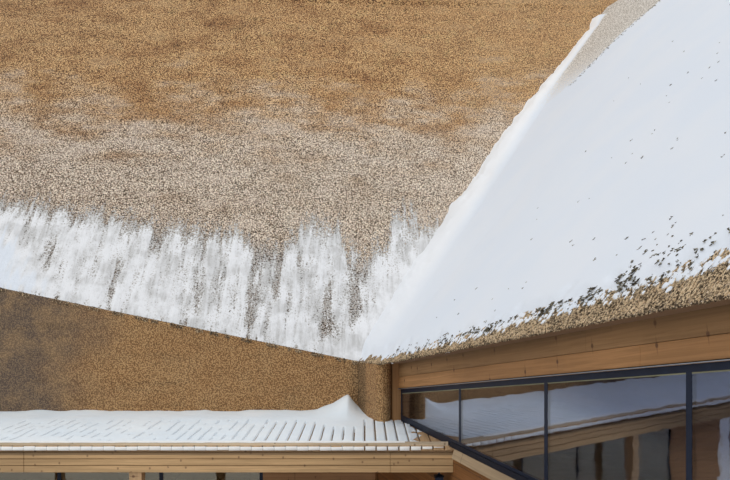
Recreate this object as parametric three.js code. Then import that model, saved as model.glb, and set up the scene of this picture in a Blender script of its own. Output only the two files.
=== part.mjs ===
// Two-winged thatched house, built around the inner corner of its courtyard.
// Millimetres, Z up, ground at z = 0. The left wing runs along -X, the right
// wing along wingAlong, and the courtyard is the side of negative Y. Points are
// written from the corner where the two thatched courtyard faces meet, and add
// moves them to the origin: on the ground, in the foot of the plinth there.
import * as THREE from 'three';
import { mergeVertices } from 'three/addons/utils/BufferGeometryUtils.js';

// Plan
const WING_TURN = 17.9 * Math.PI / 180;   // right wing, turned from -Y towards +X
const LEFT_HALF = 5060;                   // eave to ridge, left wing
const RIGHT_HALF = 7100;                  // eave to ridge, right wing
const LEFT_VERGE = -9600;                 // free end of the left roof
const RIGHT_VERGE = 9600;                 // free end of the right roof
const VERGE_OVER = 300;                   // roof past the gable wall
const GAP = 0.3;                          // between neighbouring pieces

// Heights
const DECK = 2900;                        // top of the slatted canopy, sill level
const RIDGE = DECK + 8460;
const PLINTH = 200;
const FLOOR_TOP = 2620;                   // upper floor
const FLOOR_DEEP = 220;

// Thatch and walls
const THATCH = 340;                       // coat on the upper walls
const THATCH_UPRIGHT = 550;               // roof thatch, measured upright
const WALL = 240;
const LEFT_EAVE = DECK + 724;             // at the inner corner
const LEFT_RISE = 0.2057;                 // eave climbs to the left
const RIGHT_KINK = 950;
const RIGHT_EAVE = DECK + 785;            // at the kink
const RIGHT_RISE = 0.1655;                // eave climbs along the right wing
const BACK_EAVE = DECK + 720;

// Ribbon window of the right wing, measured along the wing from the corner
const WINDOW_FROM = 800;
const MULLIONS = [1824, 3556, 5256];      // from the window's far edge
const WINDOW_LONG = 6996;
const HEAD = DECK + 423;                  // at the far edge
const HEAD_RISE = 0.1658;
const FRAME = 52;
const SILL_RAIL = 85;                     // foot rail of the ribbon window
const FRAME_DEEP = 14;                    // slim caps in front of the glass
const FRAME_BACK = 8;                     // frame set back from the wall face
const GLASS = 24;
const HEAD_BOARD = 150;
const RECESS = 46;                        // right wall below the window, set back
const BOARD = 22;

// Canopy
const CANOPY_OUT = 2170;
const CANOPY_LEFT = -8600;
const DECK_THICK = 48;
const BATTEN = 38;
const FASCIA_TOP = DECK - 78;
const FASCIA = 76;
const FASCIA_THICK = 24;
const BEAM = 140;
const POST = 140;
const POSTS = [-8300, -5400, -2500];

const wingAlong = [Math.sin(WING_TURN), -Math.cos(WING_TURN)];
const wingIn = [Math.cos(WING_TURN), Math.sin(WING_TURN)];
const LEFT_DEEP = 2 * LEFT_HALF;
const RIGHT_DEEP = 2 * RIGHT_HALF;
const INNER = THATCH + WALL;

const house = new THREE.Group();
house.name = 'thatched_house';

const looks = {
  thatch: { color: 0x8f7b58, roughness: 0.95, metalness: 0 },
  ridge: { color: 0x6f6047, roughness: 0.95, metalness: 0 },
  timber: { color: 0xa8794c, roughness: 0.7, metalness: 0 },
  board: { color: 0xb98a58, roughness: 0.65, metalness: 0 },
  ledge: { color: 0xb9a78c, roughness: 0.7, metalness: 0 },
  frame: { color: 0x20242c, roughness: 0.45, metalness: 0 },
  glass: { color: 0x6f8290, roughness: 0.08, metalness: 0 },
  metal: { color: 0x8b9096, roughness: 0.4, metalness: 0.9 },
  black: { color: 0x111214, roughness: 0.5, metalness: 0 },
  floor: { color: 0xa88f6c, roughness: 0.7, metalness: 0 },
  stone: { color: 0x85827b, roughness: 0.9, metalness: 0 },
};

// Plan shift of the inner corner for each unit of depth behind the walls
const HALF_TURN = (1 - wingIn[1]) / wingIn[0];
const PLINTH_BACK = 470;                  // middle of the plinth
const origin = [PLINTH_BACK * HALF_TURN, PLINTH_BACK, 0];

// Adds one closed body, turned so that its faces look outwards.
function add(name, look, corners, triangles) {
  const points = corners.map((p) => p.map((v, k) => v - origin[k]));
  let volume = 0;
  for (const [a, b, c] of triangles) {
    const [p, q, r] = [points[a], points[b], points[c]];
    volume += p[0] * (q[1] * r[2] - q[2] * r[1])
      + p[1] * (q[2] * r[0] - q[0] * r[2])
      + p[2] * (q[0] * r[1] - q[1] * r[0]);
  }
  const index = [];
  for (const [a, b, c] of triangles) index.push(...(volume > 0 ? [a, b, c] : [a, c, b]));
  const geometry = new THREE.BufferGeometry();
  geometry.setAttribute('position', new THREE.Float32BufferAttribute(points.flat(), 3));
  geometry.setIndex(index);
  const mesh = new THREE.Mesh(mergeVertices(geometry), new THREE.MeshStandardMaterial(looks[look]));
  mesh.name = name;
  house.add(mesh);
}

// Body between two like-numbered faces of an outline of [along, up] pairs.
// place(along, up, face) gives the point on face 0 or 1.
function loft(name, look, outline, place, backOutline = outline) {
  const flat = outline.map(([u, v]) => new THREE.Vector2(u, v));
  const faces = THREE.ShapeUtils.triangulateShape(flat, []);
  const count = outline.length;
  const points = [
    ...outline.map(([u, v]) => place(u, v, 0)),
    ...backOutline.map(([u, v]) => place(u, v, 1)),
  ];
  const turned = THREE.ShapeUtils.isClockWise(flat);
  const triangles = [];
  for (const [a, b, c] of faces) {
    triangles.push([a, b, c], [a + count, c + count, b + count]);
  }
  for (let a = 0; a < count; a += 1) {
    const b = (a + 1) % count;
    const [p, q] = turned ? [b, a] : [a, b];
    triangles.push([q, p, p + count], [q, p + count, q + count]);
  }
  add(name, look, points, triangles);
}

// Body made of the cells of a grid, with some cells left open. place(i, j,
// face) gives the grid point on face 0 or 1.
function lattice(name, look, cols, rows, open, place) {
  const points = [];
  for (const face of [0, 1]) {
    for (let j = 0; j < rows; j += 1) {
      for (let i = 0; i < cols; i += 1) points.push(place(i, j, face));
    }
  }
  const id = (i, j, face) => (face * rows + j) * cols + i;
  const shut = (i, j) => i >= 0 && j >= 0 && i < cols - 1 && j < rows - 1 && !open(i, j);
  const triangles = [];
  const quad = (a, b, c, d) => triangles.push([a, b, c], [a, c, d]);
  const side = (i, j, k, l) => quad(id(k, l, 0), id(i, j, 0), id(i, j, 1), id(k, l, 1));
  for (let j = 0; j < rows - 1; j += 1) {
    for (let i = 0; i < cols - 1; i += 1) {
      if (!shut(i, j)) continue;
      quad(id(i, j, 0), id(i + 1, j, 0), id(i + 1, j + 1, 0), id(i, j + 1, 0));
      quad(id(i, j, 1), id(i, j + 1, 1), id(i + 1, j + 1, 1), id(i + 1, j, 1));
      if (!shut(i, j - 1)) side(i, j, i + 1, j);
      if (!shut(i + 1, j)) side(i + 1, j, i + 1, j + 1);
      if (!shut(i, j + 1)) side(i + 1, j + 1, i, j + 1);
      if (!shut(i - 1, j)) side(i, j + 1, i, j);
    }
  }
  add(name, look, points, triangles);
}

// The six wall lines. from is a point of the outer roof edge, along runs with
// the wall and inward points into the house.
const lines = {
  left: { from: [0, 0], along: [1, 0], inward: [0, 1] },
  right: { from: [0, 0], along: wingAlong, inward: wingIn },
  back: { from: [0, LEFT_DEEP], along: [1, 0], inward: [0, -1] },
  outer: {
    from: [wingIn[0] * RIGHT_DEEP, wingIn[1] * RIGHT_DEEP],
    along: wingAlong,
    inward: [-wingIn[0], -wingIn[1]],
  },
  leftGable: { from: [LEFT_VERGE, 0], along: [0, 1], inward: [1, 0] },
  rightGable: {
    from: [wingAlong[0] * RIGHT_VERGE, wingAlong[1] * RIGHT_VERGE],
    along: wingIn,
    inward: [-wingAlong[0], -wingAlong[1]],
  },
};

function at(line, s, z, deep) {
  return [
    line.from[0] + line.along[0] * s + line.inward[0] * deep,
    line.from[1] + line.along[1] * s + line.inward[1] * deep,
    z,
  ];
}

// Upright panel between two depths behind a wall line. stations run along it
// and levels(s) lists the heights there; turn lengthens the inner face at
// either end, for mitred corners.
function panel(name, look, line, near, far, stations, levels, open = () => false, turn = [0, 0]) {
  const last = stations.length - 1;
  const deep = (i) => (i === 0 ? turn[0] : i === last ? turn[1] : 0);
  lattice(name, look, stations.length, levels(stations[0], 0).length, open, (i, j, face) => {
    const s = stations[i] + face * deep(i);
    return at(line, s, levels(s, face)[j], face ? far : near);
  });
}

// Upright prism over a plan outline.
function slab(name, look, outline, z0, z1) {
  loft(name, look, outline, (x, y, face) => [x, y, face ? z1 : z0]);
}

const leftEave = (x) => LEFT_EAVE - LEFT_RISE * x;
function rightEave(t) {
  if (t < RIGHT_KINK) return LEFT_EAVE + (RIGHT_EAVE - LEFT_EAVE) * t / RIGHT_KINK;
  return RIGHT_EAVE + RIGHT_RISE * (t - RIGHT_KINK);
}
const roofHeight = (eave, half, run) => eave + (RIDGE - eave) * run / half;
const mix = (a, b, f) => a + (b - a) * f;

// Where the left roof at y meets the right roof.
function valleyX(y) {
  let low = -1000;
  let high = 9000;
  for (let i = 0; i < 60; i += 1) {
    const x = (low + high) / 2;
    const t = x * wingAlong[0] + y * wingAlong[1];
    const q = x * wingIn[0] + y * wingIn[1];
    const left = roofHeight(leftEave(x), LEFT_HALF, y);
    const right = roofHeight(rightEave(Math.max(t, -3200)), RIGHT_HALF, q);
    if (left > right) low = x;
    else high = x;
  }
  return (low + high) / 2;
}

const ROWS = [0, 520, 1060, 1640, 2240, 2840, 3420, 3980, 4460, LEFT_HALF];
const LEFT_STATIONS = [-9600, -9300, -9060, -7600, -6100, -4600, -3100, -1600, -500];
const RIGHT_STATIONS = [950, 2200, 3700, 5200, 6700, 8000, 9060, 9300, 9600];
const FAN = 4;                            // stations between those and the valley or hip

const toWing = (x, y) => [
  x * wingAlong[0] + y * wingAlong[1],
  x * wingIn[0] + y * wingIn[1],
];
const fromWing = (t, q, z) => [
  wingAlong[0] * t + wingIn[0] * q,
  wingAlong[1] * t + wingIn[1] * q,
  z,
];
const outerX = (RIGHT_DEEP - LEFT_DEEP * wingIn[1]) / wingIn[0];
const ridgeX = (RIGHT_HALF - LEFT_HALF * wingIn[1]) / wingIn[0];
const hipX = (run) => mix(outerX, ridgeX, run / LEFT_HALF);
const valley = ROWS.map((y) => (y === 0 ? 0 : y === LEFT_HALF ? ridgeX : valleyX(y)));

// Runs of plan stations from the free end to the junction, for one row.
function leftRow(edge) {
  const row = [...LEFT_STATIONS];
  for (let k = 1; k <= FAN; k += 1) row.push(mix(-500, edge, k / FAN));
  return row;
}
function rightRow(edge) {
  const row = [];
  for (let k = 0; k < FAN; k += 1) row.push(mix(edge, 950, k / FAN));
  return [...row, ...RIGHT_STATIONS];
}

// Closed thatch sheet from matching rows of top and under points.
function sheet(name, top, under) {
  const rows = top.length;
  const cols = top[0].length;
  const points = [...top.flat(), ...under.flat()];
  const low = rows * cols;
  const id = (j, i) => j * cols + i;
  const triangles = [];
  for (let j = 0; j + 1 < rows; j += 1) {
    for (let i = 0; i + 1 < cols; i += 1) {
      const [a, b, c, d] = [id(j, i), id(j, i + 1), id(j + 1, i + 1), id(j + 1, i)];
      triangles.push([a, b, c], [a, c, d]);
      triangles.push([a + low, c + low, b + low], [a + low, d + low, c + low]);
    }
  }
  const rim = [];
  for (let i = 0; i + 1 < cols; i += 1) rim.push(id(0, i));
  for (let j = 0; j + 1 < rows; j += 1) rim.push(id(j, cols - 1));
  for (let i = cols - 1; i > 0; i -= 1) rim.push(id(rows - 1, i));
  for (let j = rows - 1; j > 0; j -= 1) rim.push(id(j, 0));
  rim.forEach((a, k) => {
    const b = rim[(k + 1) % rim.length];
    triangles.push([b, a, a + low], [b, a + low, b + low]);
  });
  add(name, 'thatch', points, triangles);
}

// One roof slope. edgeAt(run) is the junction station of a row, rowOf its
// stations, eaveOf the eave height at a station and place the plan map.
function slope(name, half, runs, edges, rowOf, eaveOf, place, shy) {
  const top = [];
  const under = [];
  runs.forEach((run, j) => {
    const last = j === runs.length - 1;
    const kept = last ? run - GAP / 2 : run;
    const stations = rowOf(edges[j] + shy);
    top.push(stations.map((s) => place(s, kept, roofHeight(eaveOf(s), half, kept))));
    if (j === 0) {
      const cutAt = (s) => THATCH_UPRIGHT / ((RIDGE - eaveOf(s)) / half);
      let edge = edges[0];
      for (let k = 0; k < 30; k += 1) edge = mix(edges[0], edges[1], cutAt(edge) / runs[1]);
      const cut = cutAt(edge);
      under.push(rowOf(edge + shy).map((s) => place(s, s === edge + shy ? cut : cutAt(s), eaveOf(s))));
    } else {
      under.push(stations.map((s) => (
        place(s, kept, roofHeight(eaveOf(s), half, kept) - THATCH_UPRIGHT))));
    }
  });
  sheet(name, top, under);
  return top;
}

const backEave = () => BACK_EAVE;
const leftPlace = (x, run, z) => [x, run, z];
const backPlace = (x, run, z) => [x, LEFT_DEEP - run, z];
const outerPlace = (t, run, z) => fromWing(t, RIGHT_DEEP - run, z);
const valleyWing = ROWS.map((y, j) => toWing(valley[j], y));
const rightRuns = valleyWing.map(([, q], j) => (j === ROWS.length - 1 ? RIGHT_HALF : q));
rightRuns[0] = 0;
const outerRuns = ROWS.map((run) => run * RIGHT_HALF / LEFT_HALF);
const hipWing = ROWS.map((run) => toWing(hipX(run), LEFT_DEEP - run)[0]);
const shy = GAP / 2;

slope('roof_left_court', LEFT_HALF, ROWS, valley, leftRow, leftEave, leftPlace, -shy);
slope('roof_left_back', LEFT_HALF, ROWS, ROWS.map(hipX), leftRow, backEave, backPlace, -shy);
slope('roof_right_court', RIGHT_HALF, rightRuns, valleyWing.map(([t]) => t), rightRow,
  rightEave, fromWing, shy);
slope('roof_right_outer', RIGHT_HALF, outerRuns, hipWing, rightRow, backEave, outerPlace, shy);

// Ridge cap laid over the last row of two slopes: a chevron ring per station.
const CAP_EDGE = 90;
const CAP_TOP = 150;
function cap(name, front, crest, back) {
  const points = [];
  front.forEach((f, i) => {
    const [r, b] = [crest[i], back[i]];
    for (const [p, lift] of [[f, 1], [r, 1], [b, 1], [b, CAP_EDGE], [r, CAP_TOP], [f, CAP_EDGE]]) {
      points.push([p[0], p[1], p[2] + lift]);
    }
  });
  const triangles = [];
  for (let i = 0; i + 1 < front.length; i += 1) {
    for (let k = 0; k < 6; k += 1) {
      const a = i * 6 + k;
      const d = i * 6 + (k + 1) % 6;
      triangles.push([a, a + 6, d + 6], [a, d + 6, d]);
    }
  }
  const end = (front.length - 1) * 6;
  for (const [a, b, c, d] of [[0, 1, 4, 5], [1, 2, 3, 4]]) {
    triangles.push([a, b, c], [a, c, d]);
    triangles.push([a + end, c + end, b + end], [a + end, d + end, c + end]);
  }
  add(name, 'ridge', points, triangles);
}
const n = ROWS.length;
const crest = (place, stations, run) => stations.map((s) => place(s, run, RIDGE));
cap(
  'ridge_left',
  leftRow(valley[n - 2] - 0.5).map((x) => (
    leftPlace(x, ROWS[n - 2], roofHeight(leftEave(x), LEFT_HALF, ROWS[n - 2])))),
  crest(leftPlace, leftRow(valley[n - 1] - 0.5), LEFT_HALF),
  leftRow(hipX(ROWS[n - 2]) - 0.5).map((x) => (
    backPlace(x, ROWS[n - 2], roofHeight(BACK_EAVE, LEFT_HALF, ROWS[n - 2])))),
);
cap(
  'ridge_right',
  rightRow(valleyWing[n - 2][0] + 0.5).map((t) => (
    fromWing(t, rightRuns[n - 2], roofHeight(rightEave(t), RIGHT_HALF, rightRuns[n - 2])))),
  crest(fromWing, rightRow(valleyWing[n - 1][0] + 0.5), RIGHT_HALF),
  rightRow(hipWing[n - 2] + 0.5).map((t) => (
    outerPlace(t, outerRuns[n - 2], roofHeight(BACK_EAVE, RIGHT_HALF, outerRuns[n - 2])))),
);

// Corner stations on the wall lines: outer faces of the structural walls.
const wallCorner = THATCH * HALF_TURN;              // inner corner, +x and -t
const gableIn = LEFT_VERGE + VERGE_OVER;
const gableEnd = RIGHT_VERGE - VERGE_OVER;
const backCorner = outerX - THATCH * HALF_TURN;     // x on the back wall
const outerCorner = toWing(outerX, LEFT_DEEP)[0] + THATCH * HALF_TURN;
const turn = WALL * HALF_TURN;

// Windows of the plain sides: [from, to, sill, head] along each line
const sideWindows = {
  left: [-7400, -1400, PLINTH + 60, 2350],
  back: [-7400, 7600, 1050, 2250],
  outer: [-3800, 7000, 1050, 2250],
  leftGable: [2400, 7720, 1050, 2250],
  rightGable: [3000, 11200, 1050, 2250],
};
const sideBays = { left: 4, back: 8, outer: 6, leftGable: 3, rightGable: 4 };

// Structural walls
const wallLow = PLINTH + GAP;
const leftTop = (x) => leftEave(x) - GAP;
const rightTop = (t) => (t < 0 ? LEFT_EAVE + 1.6 * LEFT_RISE * t : rightEave(t)) - GAP;
const backTop = () => BACK_EAVE - GAP;
const middle = (i, j) => i === 1 && j === 1;
function pierced(name, line, from, to, top, key, turn) {
  const [s0, s1, z0, z1] = sideWindows[key];
  panel(name, 'timber', line, THATCH, INNER, [from, s0, s1, to],
    (s) => [wallLow, z0, z1, top(s)], middle, turn);
}
pierced('wall_left_court', lines.left, gableIn, wallCorner - GAP, leftTop, 'left', [0, turn]);
pierced('wall_back', lines.back, gableIn, backCorner - GAP, backTop, 'back', [0, -turn]);
pierced('wall_outer', lines.outer, outerCorner + GAP, gableEnd, backTop, 'outer', [turn, 0]);

const windowTo = WINDOW_FROM + WINDOW_LONG;
const headAt = (t) => HEAD + HEAD_RISE * (t - WINDOW_FROM);
const baseFace = THATCH + RECESS;
panel('wall_right_court', 'timber', lines.right, THATCH, INNER,
  [-wallCorner + GAP, WINDOW_FROM, RIGHT_KINK, windowTo, gableEnd],
  (t) => [DECK + GAP, headAt(t), rightTop(t)],
  (i, j) => (i === 1 || i === 2) && j === 0, [-turn, 0]);
panel('wall_right_base', 'timber', lines.right, baseFace, INNER,
  [-baseFace * HALF_TURN + GAP, gableEnd], () => [wallLow, DECK - GAP],
  undefined, [-(WALL - RECESS) * HALF_TURN, 0]);

// Gable walls rise to the underside of the roof between the long walls.
function gable(name, line, deep, half, nearEave, runs, window, ends) {
  const [s0, s1, z0, z1] = window;
  const under = (s, face) => {
    const near = s <= half;
    const eave = near ? nearEave(ends[face]) : BACK_EAVE;
    return roofHeight(eave, half, near ? s : deep - s) - THATCH_UPRIGHT - 4;
  };
  const from = INNER + GAP;
  const to = deep - from;
  const marks = [from, ...runs.filter((s) => s > from + 100), s0, s1, to];
  const stations = [...new Set(marks)].sort((a, b) => a - b);
  const inWindow = (i) => stations[i] >= s0 && stations[i] < s1;
  panel(name, 'timber', line, VERGE_OVER, VERGE_OVER + WALL, stations,
    (s, face) => [wallLow, z0, z1, under(s, face)],
    (i, j) => inWindow(i) && j === 1);
}
gable('wall_left_gable', lines.leftGable, LEFT_DEEP, LEFT_HALF, leftEave, ROWS,
  sideWindows.leftGable, [gableIn, gableIn + WALL]);
gable('wall_right_gable', lines.rightGable, RIGHT_DEEP, RIGHT_HALF, rightEave, rightRuns,
  sideWindows.rightGable, [gableEnd, gableEnd - WALL]);

// Thatch coat on the upper walls, down to the canopy level
const coatLow = DECK + GAP;
const coat = (name, line, from, to, top, turn) => panel(name, 'thatch', line, 0, THATCH - GAP,
  [from, to], (s) => [coatLow, top(s)], undefined, turn);
const coatTurn = (THATCH - GAP) * HALF_TURN;
coat('thatch_wall_left', lines.left, gableIn, -GAP, leftTop, [0, coatTurn]);
coat('thatch_wall_back', lines.back, gableIn, outerX - GAP, backTop, [0, -coatTurn]);
coat('thatch_wall_outer', lines.outer, toWing(outerX, LEFT_DEEP)[0] + GAP, gableEnd, backTop,
  [coatTurn, 0]);

// Return of the thatch round the inner corner, with its rounded cut end
const POST_FROM = 740;
const POST_PROUD = 108;
const returnPlan = [
  [GAP, 0], [790, 0], [850, 20], [884, 66], [880, 120], [846, 170], [790, 206],
  [POST_FROM - GAP, THATCH - POST_PROUD], [POST_FROM - GAP, THATCH - GAP],
  [GAP - coatTurn, THATCH - GAP],
];
loft('thatch_wall_return', 'thatch', returnPlan, (t, q, face) => (
  fromWing(t, q, face ? rightTop(t) : DECK + GAP)));

// Floors and plinth
const ring = (deep) => {
  const shift = deep * HALF_TURN;
  const along = deep - THATCH;
  return [
    [gableIn + along, deep],
    [shift, deep],
    fromWing(gableEnd - along, deep, 0).slice(0, 2),
    fromWing(gableEnd - along, RIGHT_DEEP - deep, 0).slice(0, 2),
    [outerX - shift, LEFT_DEEP - deep],
    [gableIn + along, LEFT_DEEP - deep],
  ];
};
const plinthRings = [ring(THATCH + 20), ring(INNER)];
{
  const points = [0, PLINTH].flatMap((z) => plinthRings.flatMap((r) => r.map(([x, y]) => [x, y, z])));
  const triangles = [];
  for (let k = 0; k < 6; k += 1) {
    const m = (k + 1) % 6;
    for (const [a, b] of [[0, 12], [12, 18], [18, 6], [6, 0]]) {
      triangles.push([a + k, a + m, b + m], [a + k, b + m, b + k]);
    }
  }
  add('plinth', 'stone', points, triangles);
}
slab('floor_ground', 'floor', ring(INNER + GAP), 0, PLINTH);
slab('floor_upper', 'floor', ring(INNER + GAP), FLOOR_TOP - FLOOR_DEEP, FLOOR_TOP);

// Frame with panes cut through, and the sheet of glass behind it. bars are
// the bar centres from end to end and head(s) is the height of its top.
function glazing(name, line, face, bars, sill, head, rail = FRAME) {
  const stations = bars.flatMap((s, i) => {
    if (i === 0) return [s, s + FRAME];
    if (i === bars.length - 1) return [s - FRAME, s];
    return [s - FRAME / 2, s + FRAME / 2];
  });
  panel(`${name}_frame`, 'frame', line, face, face + FRAME_DEEP, stations,
    (s) => [sill, sill + rail, head(s) - FRAME, head(s)], (i, j) => i % 2 === 1 && j === 1);
  const glassFace = face + FRAME_DEEP + GAP;
  panel(`${name}_glass`, 'glass', line, glassFace, glassFace + GLASS,
    [bars[0] + 4, bars[bars.length - 1] - 4], (s) => [sill, head(s)]);
}
glazing('window_court', lines.right, THATCH + FRAME_BACK,
  [WINDOW_FROM + GAP, ...MULLIONS.map((m) => WINDOW_FROM + m), windowTo - GAP],
  DECK + GAP, (t) => headAt(t) - 2 * GAP, SILL_RAIL);
const windowNames = {
  left: 'window_under_canopy',
  back: 'window_back',
  outer: 'window_outer',
  leftGable: 'window_left_gable',
  rightGable: 'window_right_gable',
};
for (const [key, name] of Object.entries(windowNames)) {
  const [s0, s1, z0, z1] = sideWindows[key];
  const bars = [s0 + GAP];
  for (let i = 1; i < sideBays[key]; i += 1) bars.push(mix(s0, s1, i / sideBays[key]));
  bars.push(s1 - GAP);
  const face = (key.endsWith('Gable') ? VERGE_OVER : THATCH) + FRAME_BACK;
  glazing(name, lines[key], face, bars, z0 + GAP, () => z1 - GAP);
}

// Trim around the ribbon window: post, two raked head boards, metal edge,
// dark sill metal and the sloped sill board beyond the canopy
const CANOPY_END = 2410;
const boardFrom = WINDOW_FROM + GAP;
const trim = (name, look, proud, stations, levels) => (
  panel(name, look, lines.right, THATCH - proud, THATCH - GAP, stations, levels));
trim('trim_post', 'board', POST_PROUD, [POST_FROM, WINDOW_FROM], (t) => [DECK + GAP, rightTop(t)]);
trim('head_board_lower', 'board', BOARD, [boardFrom, gableEnd],
  (t) => [headAt(t) + 14, headAt(t) + 14 + HEAD_BOARD]);
trim('head_board_upper', 'board', BOARD, [boardFrom, RIGHT_KINK, gableEnd],
  (t) => [headAt(t) + 17 + HEAD_BOARD, rightTop(t)]);
trim('head_edge', 'metal', 34, [boardFrom, windowTo + 40], (t) => [headAt(t) + 2, headAt(t) + 13]);
const metalBack = THATCH + FRAME_BACK - GAP;
loft('sill_metal', 'black', [
  [metalBack, DECK + GAP],
  [metalBack, DECK + 56],
  [THATCH - 4, DECK + 50],
  [THATCH - 20, DECK + 8],
  [THATCH - 20, DECK + GAP],
], (q, z, face) => fromWing(face ? windowTo - GAP : CANOPY_END, q, z));
loft('sill_board', 'ledge', [
  [baseFace - GAP, DECK - GAP],
  [THATCH - 14, DECK - GAP],
  [THATCH - 44, DECK - 86],
  [THATCH - 44, DECK - 108],
  [baseFace - GAP, DECK - 108],
], (q, z, face) => fromWing(face ? windowTo + 40 : CANOPY_END + 120, q, z));

// Canopy: slatted deck, its frame, snow batten, three fascia boards, posts
const wallX = (y, q) => (q - y * wingIn[1]) / wingIn[0];
const deckPlan = [
  [CANOPY_LEFT, -CANOPY_OUT],
  [wallX(-CANOPY_OUT, baseFace - GAP), -CANOPY_OUT],
  [wallX(THATCH - GAP, baseFace - GAP), THATCH - GAP],
  [CANOPY_LEFT, THATCH - GAP],
];
slab('canopy_deck', 'board', deckPlan, DECK - DECK_THICK, DECK);
const frameTop = DECK - DECK_THICK - GAP;
const frameLow = FASCIA_TOP - 3 * FASCIA;
const beamOut = -CANOPY_OUT + FASCIA_THICK + 26;
const JOISTS = 7;
const JOIST = 100;
const joistFrom = CANOPY_LEFT + 80;
const joistTo = 240;
const frameX = [CANOPY_LEFT + 30];
for (let i = 0; i < JOISTS; i += 1) {
  const x = mix(joistFrom, joistTo, i / (JOISTS - 1));
  frameX.push(...(i === 0 ? [x + JOIST / 2] : [x - JOIST / 2, x + JOIST / 2]));
}
frameX.pop();
const frameY = [beamOut, beamOut + BEAM, THATCH - 120, THATCH - GAP];
lattice('canopy_frame', 'timber', frameX.length + 1, 4, (i, j) => i % 2 === 1 && j === 1,
  (i, j, face) => [
    i === frameX.length ? wallX(frameY[j], baseFace - GAP) : frameX[i],
    frameY[j],
    face ? frameTop : frameLow,
  ]);
const battenEnd = wallX(-CANOPY_OUT + 62, THATCH - GAP);
slab('canopy_batten', 'board', [
  [CANOPY_LEFT, -CANOPY_OUT + 14], [battenEnd, -CANOPY_OUT + 14],
  [battenEnd, -CANOPY_OUT + 62], [CANOPY_LEFT, -CANOPY_OUT + 62],
], DECK + GAP, DECK + BATTEN);
for (let i = 0; i < 3; i += 1) {
  const y0 = beamOut - GAP - FASCIA_THICK;
  const high = FASCIA_TOP - i * FASCIA;
  slab(`fascia_${['upper', 'middle', 'lower'][i]}`, 'board', [
    [CANOPY_LEFT, y0], [wallX(y0, baseFace - GAP), y0],
    [wallX(y0 + FASCIA_THICK, baseFace - GAP), y0 + FASCIA_THICK], [CANOPY_LEFT, y0 + FASCIA_THICK],
  ], high - FASCIA + 2, high);
}
POSTS.forEach((x, i) => {
  slab(`canopy_post_${i + 1}`, 'timber', [
    [x - POST / 2, beamOut], [x + POST / 2, beamOut],
    [x + POST / 2, beamOut + POST], [x - POST / 2, beamOut + POST],
  ], 0, frameLow - GAP);
});

// Lantern under the canopy's right end: cap, body and foot in one turned block
const lanternAt = [944, beamOut + 62];
const lanternRings = [[10, 0], [10, -36], [58, -62], [46, -66], [46, -230], [56, -238], [56, -256], [0, -256]];
{
  const points = [];
  const triangles = [];
  const sides = 4;
  for (const [r, z] of lanternRings.slice(0, -1)) {
    for (let k = 0; k < sides; k += 1) {
      const a = Math.PI / 4 + k * Math.PI / 2;
      points.push([
        lanternAt[0] + r * Math.SQRT2 * Math.cos(a),
        lanternAt[1] + r * Math.SQRT2 * Math.sin(a),
        frameLow - GAP + z,
      ]);
    }
  }
  const rings = lanternRings.length - 1;
  for (let j = 0; j + 1 < rings; j += 1) {
    for (let k = 0; k < sides; k += 1) {
      const [a, b] = [j * sides + k, j * sides + (k + 1) % sides];
      triangles.push([a, a + sides, b + sides], [a, b + sides, b]);
    }
  }
  const end = (rings - 1) * sides;
  triangles.push([0, 1, 2], [0, 2, 3], [end, end + 2, end + 1], [end, end + 3, end + 2]);
  add('lantern', 'black', points, triangles);
}

export default house;
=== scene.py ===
import math
import random
from itertools import pairwise

import bpy
from bpy.props import FloatProperty, FloatVectorProperty, IntProperty, PointerProperty
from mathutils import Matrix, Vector, noise
from mathutils.bvhtree import BVHTree


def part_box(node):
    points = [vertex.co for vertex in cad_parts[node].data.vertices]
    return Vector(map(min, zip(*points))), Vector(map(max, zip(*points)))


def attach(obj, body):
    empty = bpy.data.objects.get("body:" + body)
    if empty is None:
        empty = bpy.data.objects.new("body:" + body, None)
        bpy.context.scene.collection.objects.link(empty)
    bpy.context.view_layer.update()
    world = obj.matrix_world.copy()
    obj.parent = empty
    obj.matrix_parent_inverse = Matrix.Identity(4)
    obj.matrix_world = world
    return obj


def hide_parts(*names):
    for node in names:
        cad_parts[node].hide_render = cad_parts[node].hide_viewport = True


bl_info = {
    "name": "Thatched house with two wings",
    "version": (1, 0, 0),
    "blender": (4, 5, 0),
    "location": "3D View > Sidebar > House",
    "description": "Dresses the packed house in thatch, snow, pine boards and glass",
    "category": "Object",
}

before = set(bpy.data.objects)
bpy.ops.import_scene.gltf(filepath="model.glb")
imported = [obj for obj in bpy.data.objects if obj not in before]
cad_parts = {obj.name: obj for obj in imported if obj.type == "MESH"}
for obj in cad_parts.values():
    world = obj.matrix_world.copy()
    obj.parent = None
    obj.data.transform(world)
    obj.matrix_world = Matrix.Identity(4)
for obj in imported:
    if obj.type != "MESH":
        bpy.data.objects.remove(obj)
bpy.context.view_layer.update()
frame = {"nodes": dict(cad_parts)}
nodes = frame["nodes"]

# Plan of the house, metres. corner is where the thatched courtyard faces meet.
corner = Vector((-0.342065, -0.47, 0.0))
wing_turn = math.radians(17.9)
wing_along = Vector((math.sin(wing_turn), -math.cos(wing_turn), 0.0))
wing_in = Vector((math.cos(wing_turn), math.sin(wing_turn), 0.0))
upright = Vector((0.0, 0.0, 1.0))
left_half = 5.06
right_half = 7.10
left_verge = -9.60
right_verge = 9.60
deck = 2.90
ridge = deck + 8.46
left_eave = deck + 0.724
left_rise = 0.2057
right_kink = 0.95
right_eave = deck + 0.785
right_rise = 0.1655
back_eave = deck + 0.72
thatch = 0.34
recess = 0.046

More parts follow.
